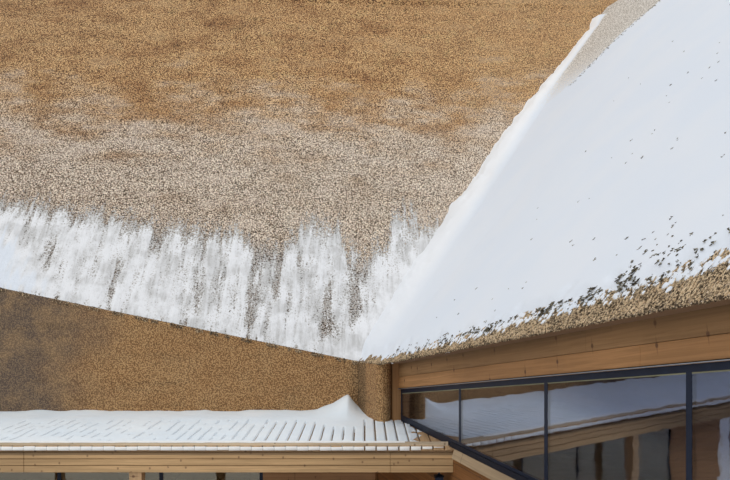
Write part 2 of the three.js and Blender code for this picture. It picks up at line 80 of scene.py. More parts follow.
# Ribbon window and the raked boards over it
window_from = 0.80
window_bars = (0.80, 2.624, 4.356, 6.056, 7.796)
window_head = deck + 0.423
head_rise = 0.1658
frame_wide = 0.052
frame_back = 0.008
pane_edge = 0.004
pane_thick = 0.032
raked_front = thatch - 0.022
raked_back = thatch - 0.0005
low_cuts = (window_from + 0.0003, 1.99, 4.06, 5.62, 7.30, 9.30)
top_cuts = (window_from + 0.0003, 2.43, 4.98, 7.10, 9.30)

# Canopy in the inner corner
canopy_left = -8.60
canopy_out = 2.17
slat_pitch = 0.128
slat_wide = 0.114
slat_thick = 0.048
fascia_face = -canopy_out + 0.0257
fascia_top = deck - 0.078
fascia_pitch = 0.076
fascia_cuts = (canopy_left, -7.9, -3.75, 0.385)


def on_left(x, run, z):
    """Point of the left wing, counted from the corner."""
    return corner + Vector((x, run, z))


def on_wing(t, q, z):
    """Point of the right wing, t along it and q into it."""
    return corner + wing_along * t + wing_in * q + upright * z


def to_wing(x, y):
    flat = Vector((x, y, 0.0))
    return flat.dot(wing_along), flat.dot(wing_in)


def wing_wall_x(y, q=thatch):
    """Plan x where a line of the right wing lies at y, counted from the corner."""
    return (q - y * wing_in.y) / wing_in.x


def left_eave_at(x):
    return left_eave - left_rise * x


def right_eave_at(t):
    if t < right_kink:
        return left_eave + (right_eave - left_eave) * t / right_kink
    return right_eave + right_rise * (t - right_kink)


def left_roof(x, run):
    eave = left_eave_at(x)
    return eave + (ridge - eave) * run / left_half


def right_roof(t, q):
    eave = right_eave_at(t)
    return eave + (ridge - eave) * q / right_half


def on_right_roof(t, q, above=0.0):
    return on_wing(t, q, right_roof(t, q) + above)


def outer_roof(run):
    return back_eave + (ridge - back_eave) * run / right_half


def valley_x(run):
    """Plan x of the valley, where the two courtyard slopes are level."""
    low, high = -1.0, 9.0
    for _ in range(50):
        x = (low + high) / 2
        t, q = to_wing(x, run)
        if left_roof(x, run) > right_roof(max(t, -3.2), q):
            low = x
        else:
            high = x
    return (low + high) / 2


def stepped(points, at):
    """Straight steps through (place, value) pairs."""
    if at <= points[0][0]:
        return points[0][1]
    for (a, va), (b, vb) in pairwise(points):
        if at <= b:
            return va + (vb - va) * (at - a) / (b - a)
    return points[-1][1]


def smooth(low, high, at):
    f = min(1.0, max(0.0, (at - low) / (high - low)))
    return f * f * (3 - 2 * f)


def ripple(x, y, seed, octaves=3):
    """Repeatable noise from about -1 to 1."""
    return noise.fractal(Vector((x, y, seed)), 0.9, 2.1, octaves)


def spread(low, high, step):
    count = max(1, round((high - low) / step))
    return [low + (high - low) * k / count for k in range(count + 1)]


valley_steps = [to_wing(valley_x(run), run)[::-1] for run in spread(0.0, left_half, left_half / 40)]
valley_steps[0] = (0.0, 0.0)


def past_valley(t, q):
    """Distance along the wing from the valley."""
    return t - stepped(valley_steps, q)


# Meshes


def piece(name, verts, faces, finish, shade=False):
    """A finished mesh object that rides on the house."""
    mesh = bpy.data.meshes.new(name)
    mesh.from_pydata([tuple(v) for v in verts], [], faces)
    mesh.validate()
    mesh.update()
    if shade:
        mesh.shade_smooth()
    obj = bpy.data.objects.new(name, mesh)
    bpy.context.scene.collection.objects.link(obj)
    mesh.materials.append(finish)
    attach(obj, "root")
    return obj


def solid_piece(name, verts, faces, finish, node=None):
    """Closed boards or panes, in place of a CAD node where one is given."""
    made = piece(name, verts, outward(verts, faces), finish)
    if node:
        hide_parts(node)


def outward(verts, faces):
    """Faces of a closed mesh, turned so that they all look out."""
    volume = 0.0
    for face in faces:
        a = verts[face[0]]
        for b, c in zip(face[1:], face[2:]):
            volume += a.dot(verts[b].cross(verts[c]))
    return faces if volume > 0.0 else [tuple(reversed(face)) for face in faces]


def add_solid(verts, faces, rings, foot=True):
    """Skin over rings of points that follow each other, closed at the far end and,
    with foot, at the near end too."""
    first, sides = len(verts), len(rings[0])
    last = first + (len(rings) - 1) * sides
    for ring in rings:
        verts.extend(ring)
    for low in range(first, last, sides):
        for k in range(sides):
            m = (k + 1) % sides
            faces.append((low + k, low + m, low + sides + m, low + sides + k))
    if foot:
        faces.append(tuple(range(first + sides - 1, first - 1, -1)))
    faces.append(tuple(range(last, last + sides)))


def grid_faces(rows, cols, keep=lambda j, i: True):
    faces = []
    for j in range(rows - 1):
        for i in range(cols - 1):
            if keep(j, i):
                a = j * cols + i
                faces.append((a, a + 1, a + cols + 1, a + cols))
    return faces


def snow_sheet(name, verts, shown, cols, finish, keep=lambda j, i: True):
    """Sheet over a grid of points, without the faces where no point is shown."""
    faces = grid_faces(len(verts) // cols, cols, keep)
    faces = [f for f in faces if any(shown[v] for v in f)]
    return piece(name, verts, faces, finish, True)


def add_attribute(obj, name, values):
    layer = obj.data.attributes.new(name, "FLOAT", "POINT")
    layer.data.foreach_set("value", values)


# Shader building


def calculation(operation, turned=False):
    """Method of Wire for one maths node; turned puts the other value first."""
    def apply(self, *others):
        values = (*others, self) if turned else (self, *others)
        return self.finish.math(operation, *values)
    return apply


class Wire:
    """A value socket that Python arithmetic can be written on."""

    def __init__(self, finish, socket):
        self.finish = finish
        self.socket = socket

    __add__ = __radd__ = calculation("ADD")
    __mul__ = __rmul__ = calculation("MULTIPLY")
    __sub__ = calculation("SUBTRACT")
    __rsub__ = calculation("SUBTRACT", turned=True)
    __truediv__ = calculation("DIVIDE")
    __rtruediv__ = calculation("DIVIDE", turned=True)
    absolute = calculation("ABSOLUTE")
    floor = calculation("FLOOR")
    most = calculation("MAXIMUM")

    def between(self, low, high):
        """0 at low, 1 at high, smooth between; low may be the greater."""
        inputs = {"Value": self, "From Min": low, "From Max": high}
        kind = {"interpolation_type": "SMOOTHSTEP"}
        return self.finish.node("ShaderNodeMapRange", kind, inputs)

    def wrap(self, length):
        return self.finish.math("WRAP", self, length, 0.0)


class Finish:
    """A material whose nodes are made by one method."""

    def __init__(self, name):
        self.material = bpy.data.materials.new(name)
        self.material.use_nodes = True
        self.tree = self.material.node_tree
        self.tree.nodes.clear()
        self.place = self.node("ShaderNodeTexCoord", out="Object")

    def node(self, kind, settings=None, inputs=None, out=0):
        """New node. Its settings are set first, then its sockets get values or links."""
        made = self.tree.nodes.new(kind)
        for key, value in (settings or {}).items():
            setattr(made, key, value)
        for key, value in (inputs or {}).items():
            socket = made.inputs[key]
            if isinstance(value, Wire):
                self.tree.links.new(value.socket, socket)
            elif socket.type == "RGBA":
                socket.default_value = (*value, 1.0)
            else:
                socket.default_value = value
        return Wire(self, made.outputs[out]) if made.outputs else made

    def math(self, operation, *values):
        return self.node("ShaderNodeMath", {"operation": operation}, dict(enumerate(values)))

    def vector(self, operation, *values, out="Vector"):
        inputs = dict(enumerate(values))
        return self.node("ShaderNodeVectorMath", {"operation": operation}, inputs, out)

    def split(self, vector):
        return [self.node("ShaderNodeSeparateXYZ", None, {0: vector}, k) for k in range(3)]

    def point(self, x, y, z):
        return self.node("ShaderNodeCombineXYZ", None, {0: x, 1: y, 2: z})

    def axes(self):
        return self.split(self.place)

    def wing_axes(self):
        x, y, z = self.axes()
        x = x - corner.x
        y = y - corner.y
        along = x * wing_along.x + y * wing_along.y
        return along, x * wing_in.x + y * wing_in.y, z

    def corner_reach(self):
        """Distance in plan from the inner corner."""
        x, y = self.axes()[:2]
        flat = self.point(x - corner.x, y - corner.y, 0.0)
        return self.vector("LENGTH", flat, out="Value")

    def attribute(self, name):
        return self.node("ShaderNodeAttribute", {"attribute_name": name}, None, "Fac")

    def cloud(self, scale, detail=2.0, rough=0.5, at=None, warp=0.0):
        inputs = {"Vector": at or self.place, "Scale": scale, "Detail": detail,
                  "Roughness": rough, "Distortion": warp}
        return self.node("ShaderNodeTexNoise", None, inputs)

    def stretched(self, factors, detail, rough, warp=0.0):
        """Cloud whose place is multiplied by a factor on each axis."""
        return self.cloud(1.0, detail, rough, self.vector("MULTIPLY", self.place, factors), warp)

    def mix(self, share, a, b, blend="MIX"):
        inputs = {0: share, 6: a, 7: b}
        return self.node("ShaderNodeMix", {"data_type": "RGBA", "blend_type": blend}, inputs, 2)

    def layers(self, body, *coats):
        """Body with each (share, colour) coat mixed over it in turn."""
        for share, colour in coats:
            body = self.mix(share, body, colour)
        return body

    def bump(self, height, deep, strength=1.0):
        inputs = {"Height": height, "Distance": deep, "Strength": strength}
        return self.node("ShaderNodeBump", None, inputs)

    def surface(self, base, rough=0.9, normal=None, **fixed):
        inputs = {"Base Color": base, "Roughness": rough, **fixed}
        if normal is not None:
            inputs["Normal"] = normal
        shader = self.node("ShaderNodeBsdfPrincipled", None, inputs)
        self.node("ShaderNodeOutputMaterial", None, {"Surface": shader})
        return self.material


def scaled(colour, *factors):
    """Colour with its channels multiplied by one factor or by three."""
    return tuple(min(1.0, c * k) for c, k in zip(colour, factors * (3 // len(factors))))


def dress(material, *names):
    for name in names:
        slots = nodes[name].data.materials
        slots.clear()
        slots.append(material)


# Settings


def colour_prop(name, rgb, description):
    return FloatVectorProperty(
        name=name, description=description, subtype="COLOR", size=3, min=0.0, max=1.0, default=rgb)


def length_prop(name, value, description):
    return FloatProperty(name=name, description=description, default=value, unit="LENGTH")


def count_prop(name, value, description):
    return IntProperty(name=name, description=description, default=value, min=0)


class ThatchSettings(bpy.types.PropertyGroup):
    golden: colour_prop("Golden reed", (0.41, 0.182, 0.060), "Reed high on the roof")
    straw: colour_prop("Grey straw", (0.615, 0.436, 0.302), "Weathered reed lower down")
    wall: colour_prop("Wall reed", (0.31, 0.153, 0.055), "Reed of the upright walls")
    turn_height: length_prop("Golden above", deck + 4.90, "Where straw grey turns golden")
    grain: length_prop("Reed end", 0.0195, "Size of one bundle of reed ends")


class SnowSettings(bpy.types.PropertyGroup):
    bright: colour_prop("Lit snow", (0.88, 0.88, 0.89), "Snow that faces the sky")
    # cool is snow with the painted blue of shade
    cool: colour_prop("Field snow", (0.78, 0.83, 0.90), "Smooth snow of the right roof")
    # lip is painted light: the lip along the valley is lit brighter where it faces the sun
    lip: colour_prop("Lip snow", (0.95, 0.945, 0.94), "Thick snow along the valley")
    depth: length_prop("Depth on the roof", 0.09, "Snow over the right roof")
    crust: length_prop("Crust on the left roof", 0.030, "Thin crust over the left eave")
    canopy: length_prop("Depth on the canopy", 0.020, "Snow over the slats")


class StrawSettings(bpy.types.PropertyGroup):
    count: count_prop("Straws", 27000, "Loose straws at the right eave")
    fringe: count_prop("Fringe", 4600, "Ends along each courtyard eave")
    tufts: count_prop("Tufts", 3400, "Tufts that stand out of the snow")
    lumps: count_prop("Lumps", 1300, "Lumps of snow on the bare band")
    thick: length_prop("Straw radius", 0.0037, "Half the thickness of one straw")
    # pale and dark mix the reeds' own tones with painted sunlight on pale ends and painted shade on
    # dark ends
    pale: colour_prop("Pale straw", (0.71, 0.535, 0.335), "Lit reed ends")
    dark: colour_prop("Dark straw", (0.085, 0.055, 0.028), "Wet reed ends")


class TimberSettings(bpy.types.PropertyGroup):
    pine: colour_prop("Canopy pine", (0.42, 0.265, 0.135), "Pale boards of the canopy")
    larch: colour_prop("Wall boards", (0.355, 0.180, 0.072), "Boards of the walls")
    knot: colour_prop("Knots", (0.11, 0.045, 0.018), "Knots and end joints")
    greyed: colour_prop("Sill board", (0.36, 0.255, 0.15), "Grey sloped sill board")


class WindowSettings(bpy.types.PropertyGroup):
    frame: colour_prop("Frame", (0.011, 0.016, 0.032), "Dark frames and bars")
    glass: colour_prop("Glass", (0.76, 0.81, 0.96), "Cool cast of the coated panes")
    bead: colour_prop("Glazing bead", (0.20, 0.19, 0.11), "Bead under the head of the panes")
    metal: colour_prop("Head edge", (0.42, 0.43, 0.46), "Metal edge over the window")


class StageSettings(bpy.types.PropertyGroup):
    floor: colour_prop("Floor", (0.78, 0.78, 0.77), "Plain pale floor")
    lens: FloatProperty(name="Lens", description="Camera lens", default=35.9, unit="CAMERA")
    camera_height: length_prop("Camera height", deck + 1.80, "Above the ground")
    sky: FloatProperty(name="Sky", description="Strength of the soft sky", default=0.80)
    lamp: FloatProperty(name="Lamp", description="Strength of the soft lamp", default=0.65)


# Thatch

# Colours of the painted sunlight on lit reed ends
grey_sun = (1.0, 0.90, 0.74)
golden_sun = (1.0, 0.67, 0.32)


def reed_pattern(finish, grain):
    """Speckle of cut reed ends, about 0 to 1 with an even middle."""
    fine = finish.cloud(1.0 / grain, 0.0)
    tiny = finish.cloud(1.8 / grain, 0.0)
    return fine * 0.5 + tiny * 0.5


def reed_colour(made, body, speckle, deep, sun):
    """Painted shade in the gaps and painted sunlight on the ends, about a body colour; deep is the
    contrast.
    """
    dark = made.mix(0.56 + 0.44 * deep, body, (0.030, 0.018, 0.008))
    lit = made.mix(0.36 + 0.46 * deep, body, sun)
    low = made.mix(speckle.between(0.43, 0.50), dark, body)
    return made.mix(speckle.between(0.50, 0.57), low, lit)


def reed_clouds(made):
    """Courses, wide patches and blotches that every reed surface has."""
    return (made.stretched((0.9, 0.9, 6.5), 3.0, 0.6), made.stretched((0.8, 0.8, 1.5), 3.0, 0.55),
            made.cloud(2.8, 3.0, 0.65))


def wall_reed(name, settings, paint_return_shade=False):
    """Reed of the upright walls, grey far to the left, with painted shade in the inner
    corner. paint_return_shade gives the wall's return by the window painted shade on
    its side in the corner."""
    made = Finish(name)
    x = made.axes()[0]
    speckle = reed_pattern(made, settings.grain)
    courses, patch, blotch = reed_clouds(made)
    # Darker and greyer far to the left
    grey = ((x + 3.9) * -0.8 + (patch - 0.5) * 1.6).between(-0.3, 0.9)
    greyed = tuple(0.29 * c + g for c, g in zip(settings.wall, (0.029, 0.037, 0.044)))
    reach = made.corner_reach()
    body = made.layers(
        made.mix(grey, settings.wall, greyed),
        (blotch.between(0.4, 0.7) * 0.4, (0.42, 0.255, 0.115)),
        (courses.between(0.5, 0.75) * 0.35, (0.11, 0.06, 0.025)),
        # painted shade in the inner corner
        (reach.between(0.16, 0.02) * 0.5, (0.06, 0.035, 0.018)))
    # Painted shade on the return's side in the corner
    if paint_return_shade:
        body = made.mix(reach.between(0.44, 0.28) * 0.74, body, (0.072, 0.033, 0.008))
    ends = made.mix(grey * 0.5, reed_colour(made, body, speckle, -0.22, golden_sun), body)
    return made.surface(ends, 0.92, made.bump(speckle, 0.02, 0.6))


def roof_reed(name, settings):
    """Reed of the roofs: grey straw low down, golden above, with painted shade on the undersides
    and towards the left and painted light towards the right.
    """
    made = Finish(name)
    golden, straw = settings.golden, settings.straw
    x, y, z = made.axes()
    speckle = reed_pattern(made, settings.grain)
    courses, patch, blotch = reed_clouds(made)
    spot = made.cloud(4.6, 3.0, 0.65, made.vector("ADD", made.place, (3.1, 0.0, 7.7)))
    mottle = made.stretched((1.3, 1.3, 3.6), 4.0, 0.62)
    rise = (z - settings.turn_height) * 0.40 + 0.5
    high = rise + (patch - 0.5) * 1.1 + (mottle - 0.5) * 0.9 + (speckle - 0.5) * 0.9
    high = high.between(0.10, 0.90)
    warm = made.layers(
        made.mix(patch.between(0.35, 0.65), golden, scaled(golden, 1.2)),
        (blotch.between(0.5, 0.72) * 0.6, (0.37, 0.145, 0.058)),
        (spot.between(0.5, 0.7) * 0.5, (0.40, 0.29, 0.11)))
    pale = made.layers(
        made.mix(blotch.between(0.35, 0.7), straw, scaled(straw, 0.86)),
        (spot.between(0.52, 0.72) * 0.5, (0.58, 0.40, 0.31)))
    body = made.layers(
        made.mix(high, pale, warm),
        (courses.between(0.50, 0.80) * 0.30, scaled(golden, 0.5)),
        (spot.between(0.48, 0.30) * 0.45, scaled(golden, 0.45)),
        # painted shade: darker towards the left
        (x.between(3.5, -9.5) * 0.62, scaled(golden, 0.53, 0.44, 0.38)))
    ends = made.mix(high, reed_colour(made, body, speckle, 1.0, grey_sun),
                    reed_colour(made, body, speckle, 0.72, golden_sun))
    stained = made.mix(high, (0.76, 0.70, 0.64), (0.54, 0.43, 0.36))
    bleached_and_lit = made.mix(high, (0.74, 0.60, 0.49), (0.56, 0.375, 0.20))
    stain = mottle.between(0.49, 0.66) * 0.44 + patch.between(0.48, 0.66) * 0.36
    # Painted light: towards the right the roof is lighter and less stained; bleached_and_lit mixes
    # real bleaching by mottle with this painted light
    east = x.between(-1.0, 5.5)
    ends = made.mix(stain * (1.0 - east * 0.7), ends, stained, "MULTIPLY")
    ends = made.mix(mottle.between(0.48, 0.36) * 0.22 + east * 0.26, ends, bleached_and_lit)
    under_crust = y.between(0.62, 0.30) * y.between(-0.62, -0.45)
    ends = made.mix(under_crust, ends, (0.70, 0.77, 0.89), "MULTIPLY")
    # Painted shade on the faces that look down, the undersides of the eaves
    upward = made.split(made.node("ShaderNodeNewGeometry", out="Normal"))[2]
    ends = made.mix(upward.between(-0.3, -0.7), ends, (0.22, 0.125, 0.064))
    return made.surface(ends, 0.92, made.bump(speckle, 0.02, 0.5))


class HOUSE_OT_thatch(bpy.types.Operator):
    """Cut reed on the roofs, the upper walls and the ridge"""

    bl_idname = "house.thatch"
    bl_label = "Thatch"

    def execute(self, context):
        settings = context.scene.house_thatch
        dress(roof_reed("reed_roof", settings), "roof_left_court", "roof_left_back",
              "roof_right_court", "roof_right_outer", "ridge_left", "ridge_right")
        dress(wall_reed("reed_wall", settings),
              "thatch_wall_left", "thatch_wall_back", "thatch_wall_outer")
        dress(wall_reed("reed_return", settings, paint_return_shade=True), "thatch_wall_return")
        return {"FINISHED"}


# Snow on the roofs

snow_end = right_verge - 0.03
snow_top = 7.08
shown_depth = 0.001
shown_cover = 0.05
bare_steps = [(0.0, 0.03), (1.0, 0.05), (1.7, 0.07), (3.4, 0.12), (4.4, 0.18), (5.4, 0.22),
              (6.4, 0.26), (9.6, 0.34)]
cover_unit = 0.09
bank_steps = [(0.0, 0.03), (0.5, 0.10), (1.0, 0.17), (2.5, 0.20), (3.8, 0.20), (4.4, 0.17),
              (5.0, 0.10), (5.52, 0.06), (5.63, 0.01), (5.69, 0.10), (5.82, 0.12), (5.88, 0.0),
              (7.1, 0.0)]
bank_reach = [(0.0, 0.9), (2.0, 0.8), (3.5, 0.50), (4.4, 0.42), (7.1, 0.36)]
lip_reach = [(0.0, 0.9), (2.0, 0.75), (3.5, 0.42), (4.4, 0.32), (5.70, 0.28), (5.92, 0.0),
             (7.1, 0.0)]
lip_steps = [(0.0, 0.2), (0.9, 0.6), (3.0, 0.8), (4.0, 1.0), (7.1, 1.0)]
frost_steps = [(3.9, -1.3), (4.14, -0.89), (4.61, -0.71), (4.98, -0.42), (5.3, -0.05), (7.1, 1.7)]


def snow_finish(name, settings, lift=(1.0, 1.0, 1.0)):
    """Settled snow with the faint blue cast of painted shade, mixed with lit snow, and soft grain.
    """
    made = Finish(name)
    soft = made.cloud(1.6, 3.0, 0.55)
    grit = made.cloud(70.0, 1.0, 0.6)
    cool, bright = (tuple(min(0.97, c * k) for c, k in zip(colour, lift))
                    for colour in (settings.cool, settings.bright))
    body = made.mix(soft.between(0.3, 0.75) * 0.6, cool, bright)
    return made.surface(body, 0.8, made.bump(soft * 0.5 + grit * 0.05, 0.03, 0.5))


def field_finish(settings):
    """Snow of the right roof: painted light on the lip along the valley, frost at its top."""
    made = Finish("snow_field")
    soft = made.cloud(1.1, 2.0, 0.5)
    grit = made.cloud(44.0, 0.0)
    frost = made.attribute("frost")
    rimed = made.mix(grit.between(0.38, 0.62), (0.40, 0.345, 0.28), (0.83, 0.775, 0.70))
    rime = (frost * 1.6 + (grit - 0.5) * 1.6 - 0.35).between(0.0, 1.0)
    body = made.layers(
        made.mix(soft.between(0.3, 0.75) * 0.35, settings.cool, settings.bright),
        # painted light on the lip along the valley
        (made.attribute("lip"), settings.lip),
        (rime, rimed))
    height = soft * 0.5 + grit * (frost * 0.35 + 0.04)
    return made.surface(body, 0.8, made.bump(height, 0.03, 0.5))


def crust_finish(settings):
    """Thin snow that breaks up into specks where it thins out."""
    made = Finish("snow_crust")
    cover = made.attribute("cover")
    x = made.axes()[0]
    speck = reed_pattern(made, 0.026)
    tall = made.stretched((12.0, 1.5, 1.5), 3.0, 0.65, 0.7)
    wide = made.cloud(3.4, 3.0, 0.6)
    share = cover + (speck - 0.5) * 2.0 + (tall - 0.5) * 1.7
    haze = tall.between(0.62, 0.36) * 0.55 + wide.between(0.35, 0.65) * 0.45
    # Far to the left the crust turns to cool, the painted blue of shade
    smooth_left = cover.between(1.15, 1.5) * x.between(-4.2, -5.4) * 0.9
    body = made.layers(
        made.mix(share.between(0.25, 1.00), (0.43, 0.39, 0.34), settings.bright),
        (haze * wide.between(0.30, 0.62) * 0.85, (0.52, 0.51, 0.495)),
        (smooth_left, settings.cool))
    normal = made.bump(share, 0.012, 0.5)
    return made.surface(body, 0.8, normal, Alpha=share.between(0.22, 0.52))


def bare_band(t):
    """Width of bare thatch over the right eave."""
    return stepped(bare_steps, t)


def field_cover(t, q):
    """How far into the snow of the right roof, counted in steps of cover_unit."""
    ragged = (0.07 * ripple(t * 4.0, q * 4.0, 3.1) + 0.05 * ripple(t * 11.0, q * 11.0, 7.7, 2)
              + 0.03 * ripple(t * 31.0, q * 31.0, 4.4, 2))
    return (q - bare_band(t) + ragged) / cover_unit


def bank_depth(t, q):
    """Lip of snow that leans over the valley."""
    wavy = (1.0 + 0.25 * ripple(q * 2.2, 0.0, 5.5, 2) + 0.22 * ripple(q * 7.0, t * 3.0, 2.5, 2)
            + 0.14 * ripple(q * 19.0, t * 7.0, 8.5, 2))
    fall = smooth(stepped(bank_reach, q), 0.03, past_valley(t, q))
    return stepped(bank_steps, q) * wavy * fall


def field_depth(t, q, settings):
    """Snow over the right roof; below nought the thatch is bare."""
    cover = field_cover(t, q)
    even = settings.depth * (0.85 + 0.2 * ripple(t * 0.6, q * 0.6, 1.3, 2))
    return min(max(cover, -1.0), 1.0) * even + bank_depth(t, q) * smooth(0.0, 1.0, cover)


def frost_edge(q):
    """Where the rime beside the top of the valley ends, along the wing."""
    return stepped(frost_steps, q)


def frost_share(t, q):
    """Rime over thin snow beside the top of the valley."""
    inner = past_valley(t, q) - 0.24
    ragged = 0.16 * ripple(t * 3.0, q * 3.0, 17.0) + 0.08 * ripple(t * 11.0, q * 11.0, 19.0, 2)
    free = max(smooth(-0.05, 0.08, inner), smooth(5.84, 5.92, q))
    return smooth(0.10, -0.10, t - frost_edge(q) + ragged) * free * smooth(3.5, 5.3, q) ** 0.6


def lip_share(t, q):
    """Share of the painted light on the lip along the valley."""
    wide = stepped(lip_reach, q) + 0.05 * ripple(q * 5.0, 0.0, 41.0, 2)
    return smooth(wide, wide * 0.45 - 0.01, past_valley(t, q)) * stepped(lip_steps, q)


def right_snow(settings):
    rows = spread(0.008, 1.2, 0.020) + spread(1.2, snow_top, 0.05)[1:]
    offsets = spread(0.0, 0.9, 0.03) + spread(0.9, 10.0, 0.05)[1:]
    verts, shown, lips, frosts = [], [], [], []
    for q in rows:
        start = stepped(valley_steps, q) - 0.35
        share = (snow_end - start) / offsets[-1]
        for k in offsets:
            t = start + k * share
            t += 0.055 * ripple(q * 13.0, 0.0, 51.0, 2) * smooth(0.7, 0.2, k) * smooth(0.9, 2.0, q)
            t -= 0.10 * smooth(5.64, 5.72, q) * smooth(5.88, 5.80, q) * smooth(0.7, 0.3, k)
            depth = field_depth(t, q, settings)
            verts.append(on_right_roof(t, q, depth))
            shown.append(depth > shown_depth)
            lips.append(lip_share(t, q))
            frosts.append(frost_share(t, q))
    made = snow_sheet("snow_right_roof", verts, shown, len(offsets), field_finish(settings))
    add_attribute(made, "lip", lips)
    add_attribute(made, "frost", frosts)


def outer_snow(settings):
    first = to_wing(11.66, 2 * left_half)[0]
    shares = spread(0.0, 1.0, 0.006)
    verts, shown = [], []
    for run in spread(0.0, 1.2, 0.06) + spread(1.2, snow_top, 0.25)[1:]:
        start = first + (valley_steps[-1][1] - first) * run / right_half
        for k in shares:
            t = start + (snow_end - start) * k
            cover = (run - 0.25 + 0.15 * ripple(t * 3.0, run * 3.0, 12.0)) / 0.1
            depth = settings.depth * min(1.0, max(-1.0, cover))
            verts.append(on_wing(t, 2 * right_half - run, outer_roof(run) + depth))
            shown.append(depth > 0.0)
    snow_sheet("snow_outer_roof", verts, shown, len(shares), snow_finish("snow_outer", settings))


crust_top = [(-9.6, 0.95), (-5.5, 0.98), (-3.2, 0.98), (-2.4, 1.02), (-1.9, 1.10), (-1.5, 0.80),
             (-1.3, 0.98), (-1.05, 1.05), (-0.9, 1.30), (-0.35, 1.30), (-0.1, 1.05), (0.05, 1.02),
             (0.3, 1.12), (0.5, 1.30), (0.62, 1.66), (0.8, 1.58), (1.1, 1.50), (2.2, 1.5)]
crust_gaps = [(-3.08, 0.10, 0.62, 1.1), (-2.34, 0.08, 0.10, 1.1), (-1.56, 0.13, 0.06, 0.85),
              (-1.22, 0.07, 0.40, 1.1), (-0.47, 0.09, 0.15, 0.68), (-0.02, 0.17, 0.36, 0.95),
              (-0.35, 0.12, 0.10, 0.34), (-4.6, 0.08, 0.2, 0.6), (-3.55, 0.07, 0.1, 0.6)]


def crust_lack(x, run):
    """Bare streaks of the crust, each with its place, width, foot and top."""
    lack = 0.0
    for place, wide, low, high in crust_gaps:
        away = (x - place + 0.04 * ripple(x * 5.0, run * 4.0, 13.0)) / wide
        lack += (math.exp(-away * away) * smooth(low - 0.1, low + 0.1, run)
                 * smooth(high + 0.1, high - 0.1, run))
    return lack


def crust_cover(x, run):
    """Cover of the snow crust over the left eave; it shows from about 0.4 up."""
    top = stepped(crust_top, x) + 0.10 * ripple(x * 6.0, 0.0, 9.0, 3)
    top += 0.13 * ripple(x * 19.0, 0.0, 29.0, 2)
    fade = smooth(top + 0.17, top - 0.32, run)
    streak = (0.26 * ripple(x * 2.6, run * 0.8, 2.0, 2) + 0.30 * ripple(x * 6.5, run * 1.7, 4.0, 2)
              + 0.26 * ripple(x * 15.0, run * 4.0, 6.0, 2))
    solid = 0.55 * smooth(-4.3, -5.4, x) * smooth(0.62, 0.30, run) + 0.16 * smooth(0.4, 0.03, run)
    solid += (0.11 * smooth(-2.4, -4.0, x) + 0.09 * smooth(-0.7, -0.3, x)
              - 0.24 * smooth(0.3, 0.7, x))
    joins = 0.5 * smooth(0.45, 0.02, valley_x(run) - x)
    return fade * (0.93 + streak + solid + joins - 0.55 * crust_lack(x, run))


def crust_notch(x, run):
    """Notches along the lowest edge of the crust."""
    return 2.2 * max(0.0, ripple(x * 12.0, 0.0, 61.0) - 0.05) * smooth(0.075, 0.0, run)


def left_snow(settings):
    """Crust that lies on the left roof, found by rays from above."""
    roof = nodes["roof_left_court"].data
    tree = BVHTree.FromPolygons([v.co for v in roof.vertices], [p.vertices for p in roof.polygons])
    columns = spread(left_verge + 0.02, 2.4, 0.026)
    rows = [0.0, 0.012] + spread(0.035, 2.1, 0.032)
    verts, covers = [], []
    for j, run in enumerate(rows):
        for x in columns:
            place = on_left(x, run, 20.0)
            hit = tree.ray_cast(place, -upright)[0]
            ground = hit.z if hit is not None else left_roof(x, run)
            cover = crust_cover(x, run) - crust_notch(x, run)
            depth = 0.006 + settings.crust * smooth(0.5, 1.3, cover)
            depth *= 0.15 if j == 0 else 1.0
            verts.append(Vector((place.x, place.y, ground + depth)))
            covers.append(cover)
    edge = [valley_x(run) + 0.1 for run in rows]
    shown = [cover > shown_cover for cover in covers]
    made = snow_sheet("snow_left_eave", verts, shown, len(columns), crust_finish(settings),
                      lambda j, i: columns[i] < edge[j])
    add_attribute(made, "cover", covers)


class HOUSE_OT_roof_snow(bpy.types.Operator):
    """Snow on the roofs, with its ragged lower edges"""

    bl_idname = "house.roof_snow"
    bl_label = "Roof snow"

    def execute(self, context):
        settings = context.scene.house_snow
        right_snow(settings)
        outer_snow(settings)
        left_snow(settings)
        return {"FINISHED"}


# Snow on the canopy

pile = [(-8.6, 0.0), (-1.1, 0.0), (-0.83, 0.004), (-0.57, 0.03), (-0.36, 0.105), (-0.20, 0.21),
        (-0.13, 0.240), (-0.085, 0.170), (0.0, 0.07), (0.05, 0.035), (0.14, 0.006), (0.3, 0.0)]
gap_start = [(-2.0, -0.55), (-1.0, -0.60), (-0.55, -0.75), (-0.22, -1.12), (0.02, -1.0),
             (0.14, -0.35), (1.2, -0.2)]
gap_offsets = (-0.011, -0.005, 0.005, 0.011, 0.032, 0.064, 0.096)
gap_sunk = -0.05


def canopy_snow_depth(x, y, settings):
    """Even sheet with its heap in the corner, gone at the window."""
    heap = stepped(pile, x + 0.012 * ripple(x * 3.0, y * 3.0, 6.0))
    heap *= smooth(-0.95, -0.02, y) ** 1.5
    even = settings.canopy * (1.0 + 0.5 * ripple(x * 2.5, y * 2.5, 8.0))
    heap += 0.028 * max(0.0, ripple(x * 1.9, 0.0, 33.0) + 0.2) * smooth(-0.40, -0.03, y)
    bare = smooth(0.55, 0.95, x + 0.30 * ripple(x * 9.0, y * 6.0, 2.5))
    return even * (1.0 - 1.6 * bare) + heap


def gap_open(gap, y):
    """Whether the snow has dropped through a gap between slats at y."""
    start = stepped(gap_start, gap) + 0.12 * ripple(gap * 17.0, 0.0, 45.0)
    begun = smooth(start, start - 0.2, y)
    share = ((1.40 + 0.4 * smooth(-0.05, 0.15, gap)) * begun - 0.8
             - 0.45 * smooth(-0.9, -1.9, gap)
             - 0.5 * smooth(-1.86, -1.98, y) * smooth(0.05, -0.2, gap)
             + 0.7 * ripple(gap * 31.0, y * 4.6, 1.0, 2))
    return share > 0.10


